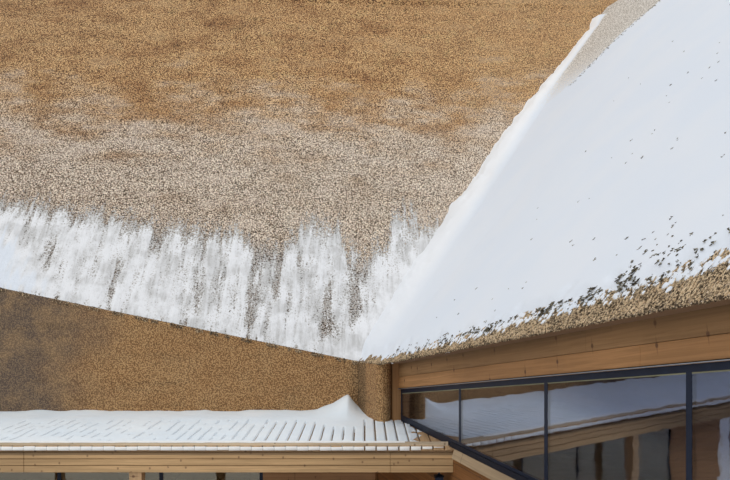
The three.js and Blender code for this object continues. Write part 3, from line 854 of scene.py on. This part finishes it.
def canopy_snow(settings):
    columns = []
    for k in range(int((1.10 - canopy_left) / slat_pitch) + 1):
        gap = canopy_left + k * slat_pitch - 0.007
        columns += [(gap + o, gap, abs(o) < 0.006) for o in gap_offsets if gap + o > canopy_left]
    rows = spread(-canopy_out + 0.064, -0.001, 0.04)
    verts, shown = [], []
    for y in rows:
        for x, gap, inside in columns:
            depth = gap_sunk if inside and gap_open(gap, y) else canopy_snow_depth(x, y, settings)
            verts.append(corner + Vector((x, y, deck + depth)))
            shown.append(depth > 0.0)
    limit = [wing_wall_x(y, 0.335) for y in rows]
    # Painted light: the snow on the slats is a lighter, bluer copy of the snow
    finish = snow_finish("snow_slats", settings, (1.07, 1.10, 1.12))
    snow_sheet("snow_canopy", verts, shown, len(columns), finish,
               lambda j, i: columns[i + 1][0] < limit[j])


def add_grid(verts, faces, lines):
    """Sheet through lines of points, all of one length."""
    base = len(verts)
    for line in lines:
        verts.extend(line)
    for face in grid_faces(len(lines), len(lines[0])):
        faces.append(tuple(base + v for v in face))


def slat_pad(k):
    """Lines of points of the snow pad on the front end of slat k."""
    x0 = canopy_left + k * slat_pitch
    x1 = x0 + (slat_pitch if x0 < -0.03 else slat_wide)
    full = smooth(0.95, 0.62, x0)
    top = deck - 0.007 + 0.006 * ripple(k * 2.3, 0.0, 14.0)
    low = deck - 0.044 * full - 0.006 + 0.005 * ripple(k * 3.3, 0.0, 4.0)
    out = 0.010 + 0.006 * full
    lines = []
    for x, inset in ((x0 + 0.001, 0.006), (x0 + 0.010, 0.0), (x1 - 0.010, 0.0),
                     (x1 - 0.001, 0.006)):
        profile = ((0.0, low), (out - inset, low + 0.004), (out - inset, top - 0.008),
                   (out * 0.4, top), (0.0, top))
        lines.append([corner + Vector((x, -canopy_out - forward, z)) for forward, z in profile])
    return lines


def batten_cover():
    """Lines of points of the thin snow on the batten."""
    low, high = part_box("canopy_batten")
    front, back, top = low.y, high.y, high.z
    lines = []
    for x in spread(canopy_left, 0.55, 0.05):
        rise = top + 0.007 + 0.005 * ripple(x * 5.0, 0.0, 24.0)
        lip = top - 0.004 - 0.004 * ripple(x * 7.0, 0.0, 27.0)
        profile = ((front - 0.002, lip), (front - 0.003, rise - 0.003), (front + 0.004, rise),
                   (back, rise))
        lines.append([Vector((corner.x + x, y, z)) for y, z in profile])
    return lines


def slat_end_snow(settings):
    """Pads of snow on the slat ends, and the cover of the batten behind them."""
    verts, faces = [], []
    for k in range(int((1.0 - canopy_left) / slat_pitch)):
        add_grid(verts, faces, slat_pad(k))
    add_grid(verts, faces, batten_cover())
    # Painted light: the snow on the slat ends is a lighter, warmer copy of the snow
    finish = snow_finish("snow_ends", settings, (1.15, 1.08, 0.98))
    piece("snow_slat_ends", verts, faces, finish, True)


class HOUSE_OT_canopy_snow(bpy.types.Operator):
    """Snow on the canopy, its heap in the corner and on the slat ends"""

    bl_idname = "house.canopy_snow"
    bl_label = "Canopy snow"

    def execute(self, context):
        settings = context.scene.house_snow
        canopy_snow(settings)
        slat_end_snow(settings)
        return {"FINISHED"}


# Loose straws

eave_end = right_verge - 0.02
tuft_end = right_verge - 0.1
lump_shape = ((1.0, -0.3), (0.95, 0.35), (0.5, 0.85))
lump_sides = 7


def straw_finish(name, settings, share, dim=(1.0, 1.0, 1.0)):
    """Reed ends from dark to pale; share moves the mix towards pale."""
    made = Finish(name)
    tone = made.cloud(60.0, 1.0, 0.5)
    wide = made.cloud(6.0, 2.0, 0.5)
    mixed = (tone * 0.75 + wide * 0.25 + share).between(0.43, 0.57)
    body = made.mix(mixed, scaled(settings.dark, *dim), scaled(settings.pale, *dim))
    return made.surface(body, 0.8)


def add_straw(verts, faces, root, aim, radius):
    """Three-sided straw from root along aim."""
    side = aim.cross(upright).normalized()
    up = side.cross(aim).normalized()
    angles = [2 * math.pi * k / 3 + 0.5 for k in range(3)]
    rings = [[centre + side * (r * math.cos(a)) + up * (r * math.sin(a)) for a in angles]
             for centre, r in ((root, radius), (root + aim, radius * 0.7))]
    add_solid(verts, faces, rings, foot=False)


def right_slope_aim(t, q):
    """Unit step down the right slope."""
    return (on_right_roof(t, q - 0.1) - on_right_roof(t, q)).normalized()


def eave_straws(settings):
    """Reed ends of the bare band over the right eave."""
    pick = random.Random(4)
    verts, faces = [], []
    for _ in range(settings.count):
        t = pick.uniform(0.30, eave_end)
        wide = bare_band(t) + 0.05 + 0.09 * smooth(3.0, 4.6, t)
        q = wide * pick.random() + 0.004
        aim = right_slope_aim(t, q) - upright * 0.12
        aim = (aim + wing_along * pick.gauss(0.0, 0.16)).normalized()
        long = min(pick.uniform(0.025, 0.07), (q + 0.004) / 0.75)
        root = on_right_roof(t, q, pick.uniform(0.002, 0.018))
        add_straw(verts, faces, root, aim * long, settings.thick * pick.uniform(0.7, 1.3))
    piece("eave_straws", verts, faces, straw_finish("eave_reed", settings, 0.02))


def eave_fringe(settings):
    """Short ends that break the line of both courtyard eaves."""
    pick = random.Random(12)
    verts, faces = [], []
    for _ in range(settings.fringe):
        x = pick.uniform(left_verge + 0.02, 0.02)
        root = on_left(x, pick.uniform(0.0, 0.02), left_eave_at(x) - pick.uniform(-0.012, 0.03))
        aim = Vector((pick.gauss(0.0, 0.25), -0.75, -0.75 + pick.gauss(0.0, 0.2))).normalized()
        if ripple(x * 6.0, 0.0, 71.0) < 0.05:
            continue
        add_straw(verts, faces, root, aim * pick.uniform(0.016, 0.045), settings.thick * 1.4)
    for _ in range(settings.fringe):
        t = pick.uniform(0.05, eave_end)
        root = on_wing(t, pick.uniform(0.004, 0.02), right_eave_at(t) + pick.uniform(0.0, 0.014))
        aim = right_slope_aim(t, 0.05) - upright * 0.3 + wing_along * pick.gauss(0.0, 0.2)
        aim.normalize()
        add_straw(verts, faces, root, aim * pick.uniform(0.008, 0.022), settings.thick * 1.2)
    piece("eave_fringe", verts, faces, straw_finish("fringe_reed", settings, -0.04))


def tuft_place(pick):
    """Place and size of a tuft: most stand at the edge of the bare band."""
    t = pick.uniform(1.3, tuft_end)
    grown = 0.55 + 0.45 * smooth(2.6, 5.0, t)
    kind = pick.random()
    if kind < 0.62:
        return t, bare_band(t) + pick.gauss(-0.025, 0.030), pick.uniform(0.40, 0.90) * grown
    if kind < 0.86:
        q = bare_band(t) + abs(pick.gauss(0.0, 0.17)) * smooth(2.4, 5.4, t)
        if ripple(t * 1.9, q * 1.9, 21.0, 2) < 0.03:
            return None
        return t, q, pick.uniform(0.30, 0.65) * grown
    if kind < 0.955:
        q = pick.uniform(4.1, 7.0)
        t = frost_edge(q) + pick.gauss(0.02, 0.05)
        return t, q, pick.uniform(0.25, 0.50)
    return t, bare_band(t) + pick.uniform(0.2, 5.0), pick.uniform(0.25, 0.50)


def reed_tufts(settings, snow):
    """Dark tufts that stand out of the snow above the bare band."""
    pick = random.Random(9)
    verts, faces = [], []
    for _ in range(settings.tufts):
        place = tuft_place(pick)
        if place is None:
            continue
        t, q, size = place
        if past_valley(t, q) < 0.2 or q > right_half - 0.1 or q < 0.02:
            continue
        over = max(0.0, field_depth(t, q, snow))
        for _ in range(int(9 * size) + 2):
            shift = pick.gauss(0.0, 0.011 * size)
            along = pick.gauss(0.0, 0.012 * size)
            aim = (right_slope_aim(t, q) + wing_along * pick.gauss(0.0, 0.6)
                   + upright * pick.uniform(0.1, 0.7)).normalized()
            root = on_right_roof(t + shift, q + along, over - 0.002)
            add_straw(verts, faces, root, aim * pick.uniform(0.018, 0.036) * size,
                      settings.thick * 1.2)
    # Painted shade: the tufts get a darker, bluer copy of the straw colours
    finish = straw_finish("tuft_reed", settings, -0.03, (0.5, 0.58, 0.62))
    piece("reed_tufts", verts, faces, finish)


def lump_rings(t, q, size):
    """Rings of points round a lump of snow, from its foot up."""
    centre = on_right_roof(t, q, 0.4 * size)
    rings = []
    for level, (out, rise) in enumerate(lump_shape):
        rings.append([])
        for k in range(lump_sides):
            a = 2 * math.pi * k / lump_sides + level * 0.4
            r = size * out * (1.0 + 0.25 * ripple(t * 9 + math.cos(a), q * 9 + math.sin(a), 3.0))
            along, inward = r * math.cos(a), r * math.sin(a)
            rings[-1].append(centre + wing_along * along + wing_in * inward
                             + upright * (rise * size * 0.9 + inward * 0.9))
    return rings


def snow_lumps(settings, snow):
    """Small lumps of snow left on the bare band."""
    pick = random.Random(31)
    verts, faces = [], []
    for _ in range(settings.lumps):
        t = pick.uniform(1.0, tuft_end)
        q = bare_band(t) + pick.gauss(-0.015, 0.035)
        if q < 0.05:
            continue
        add_solid(verts, faces, lump_rings(t, q, pick.uniform(0.008, 0.024)), foot=False)
    piece("snow_lumps", verts, faces, snow_finish("snow_lump", snow), True)


class HOUSE_OT_straws(bpy.types.Operator):
    """Loose straws along the right eave and reed ends that stand out of the snow"""

    bl_idname = "house.straws"
    bl_label = "Straws"

    def execute(self, context):
        settings = context.scene.house_straw
        snow = context.scene.house_snow
        eave_straws(settings)
        eave_fringe(settings)
        reed_tufts(settings, snow)
        snow_lumps(settings, snow)
        return {"FINISHED"}


# Timber

course = 0.15


def knot_marks(made, along, up, row, size):
    """Round knots; wide boards also get a thin dark branch line across each."""
    cell, high = 0.42 * size, 0.30 * size
    place = made.point(along / cell + row * 11.9, up / high + row * 3.3, 0.5)
    spot = made.node("ShaderNodeTexVoronoi", {"feature": "F1"},
                     {"Vector": place, "Scale": 1.0, "Randomness": 1.0}, "Position")
    away = made.split(made.vector("SUBTRACT", place, spot))
    dx = (away[0] * cell).absolute()
    dz = (away[1] * high).absolute()
    round_part = (dx * dx + dz * dz * 0.6).between(0.00034 * size, 0.00006 * size)
    branch = 0.55 * smooth(0.7, 1.0, size)
    return round_part.most(dx.between(0.007, 0.0015) * dz.between(0.085, 0.03) * branch)


def pine_finish(name, colour, settings, axes, board=0.0, joint=0.0, offset=0.0, knots=1.0,
                gloom=None):
    """Sawn pine. axes(made) gives the axes along, up and across the boards. board is
    a board's height where one solid stands for several, joint the spacing of end
    joints and knots the size of the knots. gloom(made) may give a share of
    painted shade."""
    made = Finish(name)
    along, up, across = axes(made)
    row = (up / board).floor() if board else 0.0
    grain_at = made.point(along * 0.9 + row * 7.3, up * 30.0, across * 30.0)
    grain = made.cloud(1.0, 4.0, 0.65, grain_at, 0.8)
    tone = made.cloud(1.0, 1.0, 0.5, made.point(along * 0.45 + row * 3.7, row * 5.1, 0.5))
    stain = made.cloud(2.6, 3.0, 0.6)
    lighter = tuple(min(1.0, 1.5 * c + 0.02) for c in colour)
    body = made.layers(
        made.mix(grain.between(0.36, 0.66) * 0.8, colour, lighter),
        (tone.between(0.35, 0.7) * 0.55, scaled(colour, 0.62)),
        (stain.between(0.5, 0.8) * 0.3, scaled(colour, 1.25)))
    if knots:
        marks = knot_marks(made, along, up, row, knots) * min(0.85, knots)
        body = made.mix(marks, body, settings.knot)
    gaps = None
    if board:
        gaps = 1.0 - (up - row * board).between(0.003, 0.008)
    if joint:
        cut = (along + row * joint * 0.37 + offset).wrap(joint)
        line = 1.0 - (cut - 0.004).absolute().between(0.0015, 0.004)
        gaps = line if gaps is None else gaps.most(line)
    height = grain * 0.15
    if gaps is not None:
        body = made.mix(gaps * 0.85, body, scaled(settings.knot, 0.4))
        height = height - gaps
    if gloom is not None:
        body = made.mix(gloom(made), body, scaled(colour, 0.25))
    return made.surface(body, 0.68, made.bump(height, 0.004, 0.6))


def board_axes(order):
    """Axes along, up and across boards, named out of x, y, z or of the right
    wing's t, q, z."""
    def axes(made):
        if "t" in order:
            named = dict(zip("tqz", made.wing_axes()))
        else:
            named = dict(zip("xyz", made.axes()))
        return [named[k] for k in order]
    return axes


wing_level = board_axes("tzq")
wing_end = board_axes("qzt")
left_level = board_axes("xzy")
left_end = board_axes("yzx")
slat_level = board_axes("yxz")
post_upright = board_axes("zxy")


def raked_axes(made):
    """Boards that follow the raked window head."""
    t, q, z = made.wing_axes()
    return t + z * head_rise, z - t * head_rise, q


def under_eave(made):
    """Painted shade of the boards right under the right eave."""
    t, _, z = made.wing_axes()
    below = t * right_rise + (right_eave - right_rise * right_kink) - z
    return below.between(0.11, -0.01) * 0.55


def under_slats(made):
    """Painted shade on the top fascia board under the slat ends."""
    z = made.axes()[2]
    return z.between(fascia_top - 0.040, fascia_top - 0.020) * 0.75


def level_place(x, z, y):
    return corner + Vector((x, y, z))


def canopy_slats(finish):
    """Chamfered slats with open gaps, cut to the line of the right wing."""
    verts, faces = [], []
    chamfer = 0.005
    stop = thatch + recess - 0.001
    for k in range(int((1.15 - canopy_left) / slat_pitch) + 1):
        x0 = canopy_left + k * slat_pitch
        x1 = min(x0 + slat_wide, wing_wall_x(-canopy_out, stop))
        if x1 - x0 < 0.03:
            continue
        ends = [min(thatch - 0.001, (stop - x * wing_in.x) / wing_in.y) for x in (x0, x1)]
        profile = [(x0, deck - slat_thick), (x0, deck - chamfer), (x0 + chamfer, deck),
                   (x1 - chamfer, deck), (x1, deck - chamfer), (x1, deck - slat_thick)]
        rings = [[], []]
        for x, z in profile:
            far = ends[0] + (ends[1] - ends[0]) * (x - x0) / (x1 - x0)
            rings[0].append(level_place(x, z, -canopy_out))
            rings[1].append(level_place(x, z, far))
        add_solid(verts, faces, rings)
    solid_piece("canopy_slats", verts, faces, finish, "canopy_deck")


def spans(cuts, gap):
    """Spans from cut to cut, a gap short of both."""
    return [(a + gap, b - gap) for a, b in pairwise(cuts)]


def bars(name, place, along, up, out, chamfer, finish, node=None):
    """Straight boards with chamfered edges, one for each span in along. up and out
    are one span each, and place(a, u, o) puts a point of a board in the house."""
    verts, faces = [], []
    c = chamfer
    (u0, u1), (o0, o1) = up, out
    for start, stop in along:
        rings = []
        for a, s in ((start, c), (start + c, 0.0), (stop - c, 0.0), (stop, c)):
            section = ((u0 + c + s, o0 + s), (u1 - c - s, o0 + s), (u1 - s, o0 + c + s),
                       (u1 - s, o1 - s), (u0 + s, o1 - s), (u0 + s, o0 + c + s))
            rings.append([place(a, u, o) for u, o in section])
        add_solid(verts, faces, rings)
    solid_piece(name, verts, faces, finish, node)


def raked_place(t, rise, q):
    return on_wing(t, q, window_head + head_rise * (t - window_from) + rise)


def fascia_boards(finishes):
    """Three courses of boards under the slat ends, with open joints."""
    cuts = [*fascia_cuts, wing_wall_x(fascia_face, thatch + recess - 0.0003)]
    seams = (0.006, 0.006, 0.002)
    for i, name in enumerate(("upper", "middle", "lower")):
        high = fascia_top - i * fascia_pitch
        bars(f"fascia_boards_{name}", level_place, spans(cuts, 0.002),
             (high - fascia_pitch + seams[i], high), (fascia_face - 0.002, fascia_face + 0.0235),
             0.003, finishes[min(i, 1)], f"fascia_{name}")


def lower_head_boards(finish):
    """Raked boards right over the window, butted end to end."""
    bars("head_boards_lower", raked_place, spans(low_cuts, 0.001), (0.014, 0.164),
         (raked_front, raked_back), 0.0025, finish, "head_board_lower")


def upper_head_boards(finish):
    """Boards between the lower course and the eave, bent where the eave is."""
    verts, faces = [], []
    chamfer = 0.0025
    for a, b in spans(top_cuts, 0.001):
        rings = []
        for t in (a, right_kink, b) if a < right_kink < b else (a, b):
            foot = window_head + head_rise * (t - window_from) + 0.167
            top = right_eave_at(t) - 0.0005
            section = ((foot + chamfer, raked_front), (top, raked_front), (top, raked_back),
                       (foot, raked_back), (foot, raked_front + chamfer))
            rings.append([on_wing(t, q, z) for z, q in section])
        add_solid(verts, faces, rings)
    solid_piece("head_boards_upper", verts, faces, finish, "head_board_upper")


class HOUSE_OT_timber(bpy.types.Operator):
    """Pine on the walls, the trim round the window and the canopy"""

    bl_idname = "house.timber"
    bl_label = "Timber"

    def execute(self, context):
        settings = context.scene.house_timber
        larch, pine = settings.larch, settings.pine

        def finish(name, colour, axes, **more):
            return pine_finish(name, colour, settings, axes, **more)

        # Lit and shaded copies of the wall boards: the lower head boards are painted lighter, the
        # upper ones painted darker as shade under the eave
        lower_head_boards(finish("raked_lower", scaled(larch, 1.21, 1.17, 1.06), raked_axes,
                                 knots=1.15))
        upper_head_boards(finish("raked_upper", scaled(larch, 0.92, 0.97, 0.94), raked_axes,
                                 knots=1.15, gloom=under_eave))
        wing_courses = {"board": course, "joint": 2.7, "offset": 2.18}
        left_courses = {"board": course, "joint": 2.9}
        # Painted light: the trim post is a lighter copy of the wall boards
        dress(finish("upright_trim", scaled(larch, 1.1, 1.1, 1.05), post_upright), "trim_post")
        dress(finish("wing_wall_boards", larch, wing_level, **wing_courses),
              "wall_right_court", "wall_outer")
        # Painted shade: the base boards are a darker copy of the wall boards
        dress(finish("base_boards", scaled(larch, 0.57, 0.43, 0.20), wing_level, **wing_courses),
              "wall_right_base")
        dress(finish("left_wall_boards", larch, left_level, **left_courses),
              "wall_left_court", "wall_back")
        dress(finish("left_end_boards", larch, left_end, **left_courses), "wall_left_gable")
        dress(finish("wing_end_boards", larch, wing_end, **left_courses), "wall_right_gable")
        # Painted light: the fascia boards are lighter copies of the canopy pine, the top one most,
        # and it also gets painted shade under the slat ends
        fascia_boards([finish("fascia_top_pine", scaled(pine, 1.19, 1.17, 1.07), left_level,
                              knots=0.6, gloom=under_slats),
                       finish("fascia_pine", scaled(pine, 1.07, 1.06, 0.97), left_level,
                              knots=0.6)])
        dress(finish("canopy_pine", pine, left_level), "canopy_frame")
        dress(finish("batten_pine", scaled(pine, 1.25, 1.55, 2.05), left_level, knots=0.6),
              "canopy_batten")
        dress(finish("post_pine", pine, post_upright),
              "canopy_post_1", "canopy_post_2", "canopy_post_3")
        dress(finish("sill_pine", settings.greyed, wing_level, knots=0.0, joint=1.7,
                     offset=0.65), "sill_board")
        dress(finish("floor_pine", pine, left_level), "floor_ground", "floor_upper")
        canopy_slats(finish("slat_pine", pine, slat_level))
        return {"FINISHED"}


# Windows and metal

window_names = ("court", "under_canopy", "back", "outer", "left_gable", "right_gable")


def frame_finish(settings):
    made = Finish("window_frame")
    dust = made.cloud(9.0, 3.0, 0.6)
    body = made.mix(dust.between(0.4, 0.8) * 0.4, settings.frame, scaled(settings.frame, 1.9))
    return made.surface(body, dust * 0.15 + 0.30, made.bump(made.cloud(140.0), 0.0004, 0.3),
                        **{"Specular IOR Level": 0.2})


def glass_finish(name, colour, coating):
    """Clear pane; coating is the share of the metal film that mirrors the court."""
    made = Finish(name)
    smear = made.cloud(3.0, 3.0, 0.6)
    t, _, z = made.wing_axes()
    # Painted shade: a darker patch of the panes' tint partway along the wing, across their middle
    # height; film carries it with the coating's tint
    shade = t.between(3.4, 5.4) * z.between(deck + 0.62, deck + 0.95)
    film = made.mix(shade, colour, scaled(colour, 0.50, 0.52, 0.62))
    fixed = {"Transmission Weight": 1.0, "IOR": 1.5, "Metallic": coating}
    return made.surface(film, smear * 0.02, made.bump(smear, 0.004, 0.15), **fixed)


def pane_place(t, share, q):
    """Point of a pane; share runs from the foot rail to the raked head."""
    head = window_head + head_rise * (t - window_from) - pane_edge
    return on_wing(t, q, deck + pane_edge + (head - deck - pane_edge) * share)


def ribbon_panes(finish):
    """Panes of the ribbon window, flush with its bars but for 2 mm."""
    front = thatch + frame_back + 0.002
    bars("ribbon_panes", pane_place, spans(window_bars, pane_edge), (0.0, 1.0),
         (front, front + pane_thick), 0.0, finish, "window_court_glass")


def glazing_beads(finish):
    """Thin pine bead under the head of each pane of the ribbon window."""
    halves = [frame_wide / 2] * (len(window_bars) - 2)
    trims = pairwise([frame_wide, *halves, frame_wide])
    beads = [(a + first, b - last) for (a, b), (first, last) in zip(pairwise(window_bars), trims)]
    bars("glazing_beads", raked_place, beads, (-frame_wide - 0.011, -frame_wide - 0.001),
         (thatch + frame_back + 0.0005, thatch + frame_back + 0.013), 0.0015, finish)


def metal_finish(name, colour, rough, painted_shadow_line=False):
    """Metal; painted_shadow_line darkens its upper edge as painted shadow under the raked boards.
    """
    made = Finish(name)
    streak = made.cloud(8.0, 3.0, 0.6)
    body = made.mix(streak.between(0.4, 0.7) * 0.5, colour, scaled(colour, 0.8))
    if painted_shadow_line:
        t, _, z = made.wing_axes()
        rise = z - t * head_rise - (window_head - head_rise * window_from)
        body = made.mix(rise.between(0.0075, 0.0085), body, (0.02, 0.018, 0.018))
    return made.surface(body, streak * 0.1 + rough, made.bump(streak, 0.001, 0.2), Metallic=0.7)


def stone_finish():
    made = Finish("plinth_stone")
    grit = made.cloud(40.0, 4.0, 0.7)
    wide = made.cloud(2.0, 3.0, 0.6)
    body = made.layers(
        made.mix(grit.between(0.35, 0.65), (0.20, 0.20, 0.19), (0.34, 0.33, 0.31)),
        (wide.between(0.4, 0.7) * 0.4, (0.16, 0.155, 0.145)))
    return made.surface(body, 0.9, made.bump(grit, 0.004, 0.7))


class HOUSE_OT_windows(bpy.types.Operator):
    """Window frames, glass, metal edges, the lantern and the plinth"""

    bl_idname = "house.windows"
    bl_label = "Windows and metal"

    def execute(self, context):
        settings = context.scene.house_window
        dress(frame_finish(settings), *[f"window_{n}_frame" for n in window_names])
        dress(glass_finish("window_glass", scaled(settings.glass, 1.1, 0.98, 0.68), 0.08),
              *[f"window_{n}_glass" for n in window_names[1:]])
        ribbon_panes(glass_finish("ribbon_glass", settings.glass, 0.20))
        timber = context.scene.house_timber
        glazing_beads(pine_finish("bead_pine", settings.bead, timber, wing_level, knots=0.0))
        dress(metal_finish("head_metal", settings.metal, 0.35, painted_shadow_line=True), "head_edge")
        dress(metal_finish("black_metal", settings.frame, 0.4), "sill_metal", "lantern")
        dress(stone_finish(), "plinth")
        return {"FINISHED"}


# Stage

floor_reach = 160.0
floor_drop = -0.002
camera_back = -10.36
camera_side = 0.10
frame_shift = 46.0 / 730.0


def link(context, name, data):
    made = bpy.data.objects.new(name, data)
    context.scene.collection.objects.link(made)
    return made


def stage_floor(context, settings):
    mesh = bpy.data.meshes.new("stage_floor")
    sides = ((-1, -1), (1, -1), (1, 1), (-1, 1))
    mesh.from_pydata([(x * floor_reach, y * floor_reach, floor_drop) for x, y in sides], [],
                     [(0, 1, 2, 3)])
    mesh.materials.append(Finish("stage_floor").surface(settings.floor, 0.9))
    link(context, "stage_floor", mesh)


def stage_light(context, settings):
    world = bpy.data.worlds.new("soft_sky")
    world.use_nodes = True
    sky = world.node_tree.nodes["Background"]
    sky.inputs["Color"].default_value = (0.93, 0.96, 1.0, 1.0)
    sky.inputs["Strength"].default_value = settings.sky
    context.scene.world = world
    lamp = bpy.data.lights.new("soft_lamp", "SUN")
    lamp.energy = settings.lamp
    lamp.angle = math.radians(50)
    lamp.color = (1.0, 0.97, 0.93)
    link(context, "soft_lamp", lamp).rotation_euler = (math.radians(38), 0.0, math.radians(-28))


def stage_camera(context, settings):
    camera = bpy.data.cameras.new("camera")
    camera.sensor_width = 36.0
    camera.lens = settings.lens
    camera.shift_y = frame_shift
    camera.clip_end = 500.0
    made = link(context, "camera", camera)
    made.location = corner + Vector((camera_side, camera_back, settings.camera_height))
    made.rotation_euler = (math.radians(90), 0.0, 0.0)
    context.scene.camera = made
    context.scene.view_settings.view_transform = "Standard"


class HOUSE_OT_stage(bpy.types.Operator):
    """Plain floor, soft light and the camera"""

    bl_idname = "house.stage"
    bl_label = "Stage"

    def execute(self, context):
        settings = context.scene.house_stage
        stage_floor(context, settings)
        stage_light(context, settings)
        stage_camera(context, settings)
        return {"FINISHED"}


class HOUSE_PT_pieces(bpy.types.Panel):
    """Buttons that make the pieces of the house, and their settings"""

    bl_idname = "HOUSE_PT_pieces"
    bl_label = "House"
    bl_space_type = "VIEW_3D"
    bl_region_type = "UI"
    bl_category = "House"

    def draw(self, context):
        for operator in operators:
            self.layout.operator(operator.bl_idname)
        for key in settings_groups:
            box = self.layout.box()
            group = getattr(context.scene, key)
            for name in group.__annotations__:
                box.prop(group, name)


settings_groups = {
    "house_thatch": ThatchSettings,
    "house_snow": SnowSettings,
    "house_straw": StrawSettings,
    "house_timber": TimberSettings,
    "house_window": WindowSettings,
    "house_stage": StageSettings,
}
operators = [
    HOUSE_OT_stage,
    HOUSE_OT_thatch,
    HOUSE_OT_timber,
    HOUSE_OT_windows,
    HOUSE_OT_roof_snow,
    HOUSE_OT_canopy_snow,
    HOUSE_OT_straws,
]


def register():
    for cls in [*settings_groups.values(), *operators, HOUSE_PT_pieces]:
        bpy.utils.register_class(cls)
    for key, cls in settings_groups.items():
        setattr(bpy.types.Scene, key, PointerProperty(type=cls))


def unregister():
    for key in settings_groups:
        delattr(bpy.types.Scene, key)
    for cls in reversed([*settings_groups.values(), *operators, HOUSE_PT_pieces]):
        bpy.utils.unregister_class(cls)


def main():
    register()
    for operator in operators:
        group, name = operator.bl_idname.split(".")
        getattr(getattr(bpy.ops, group), name)()


if __name__ == "__main__":
    main()
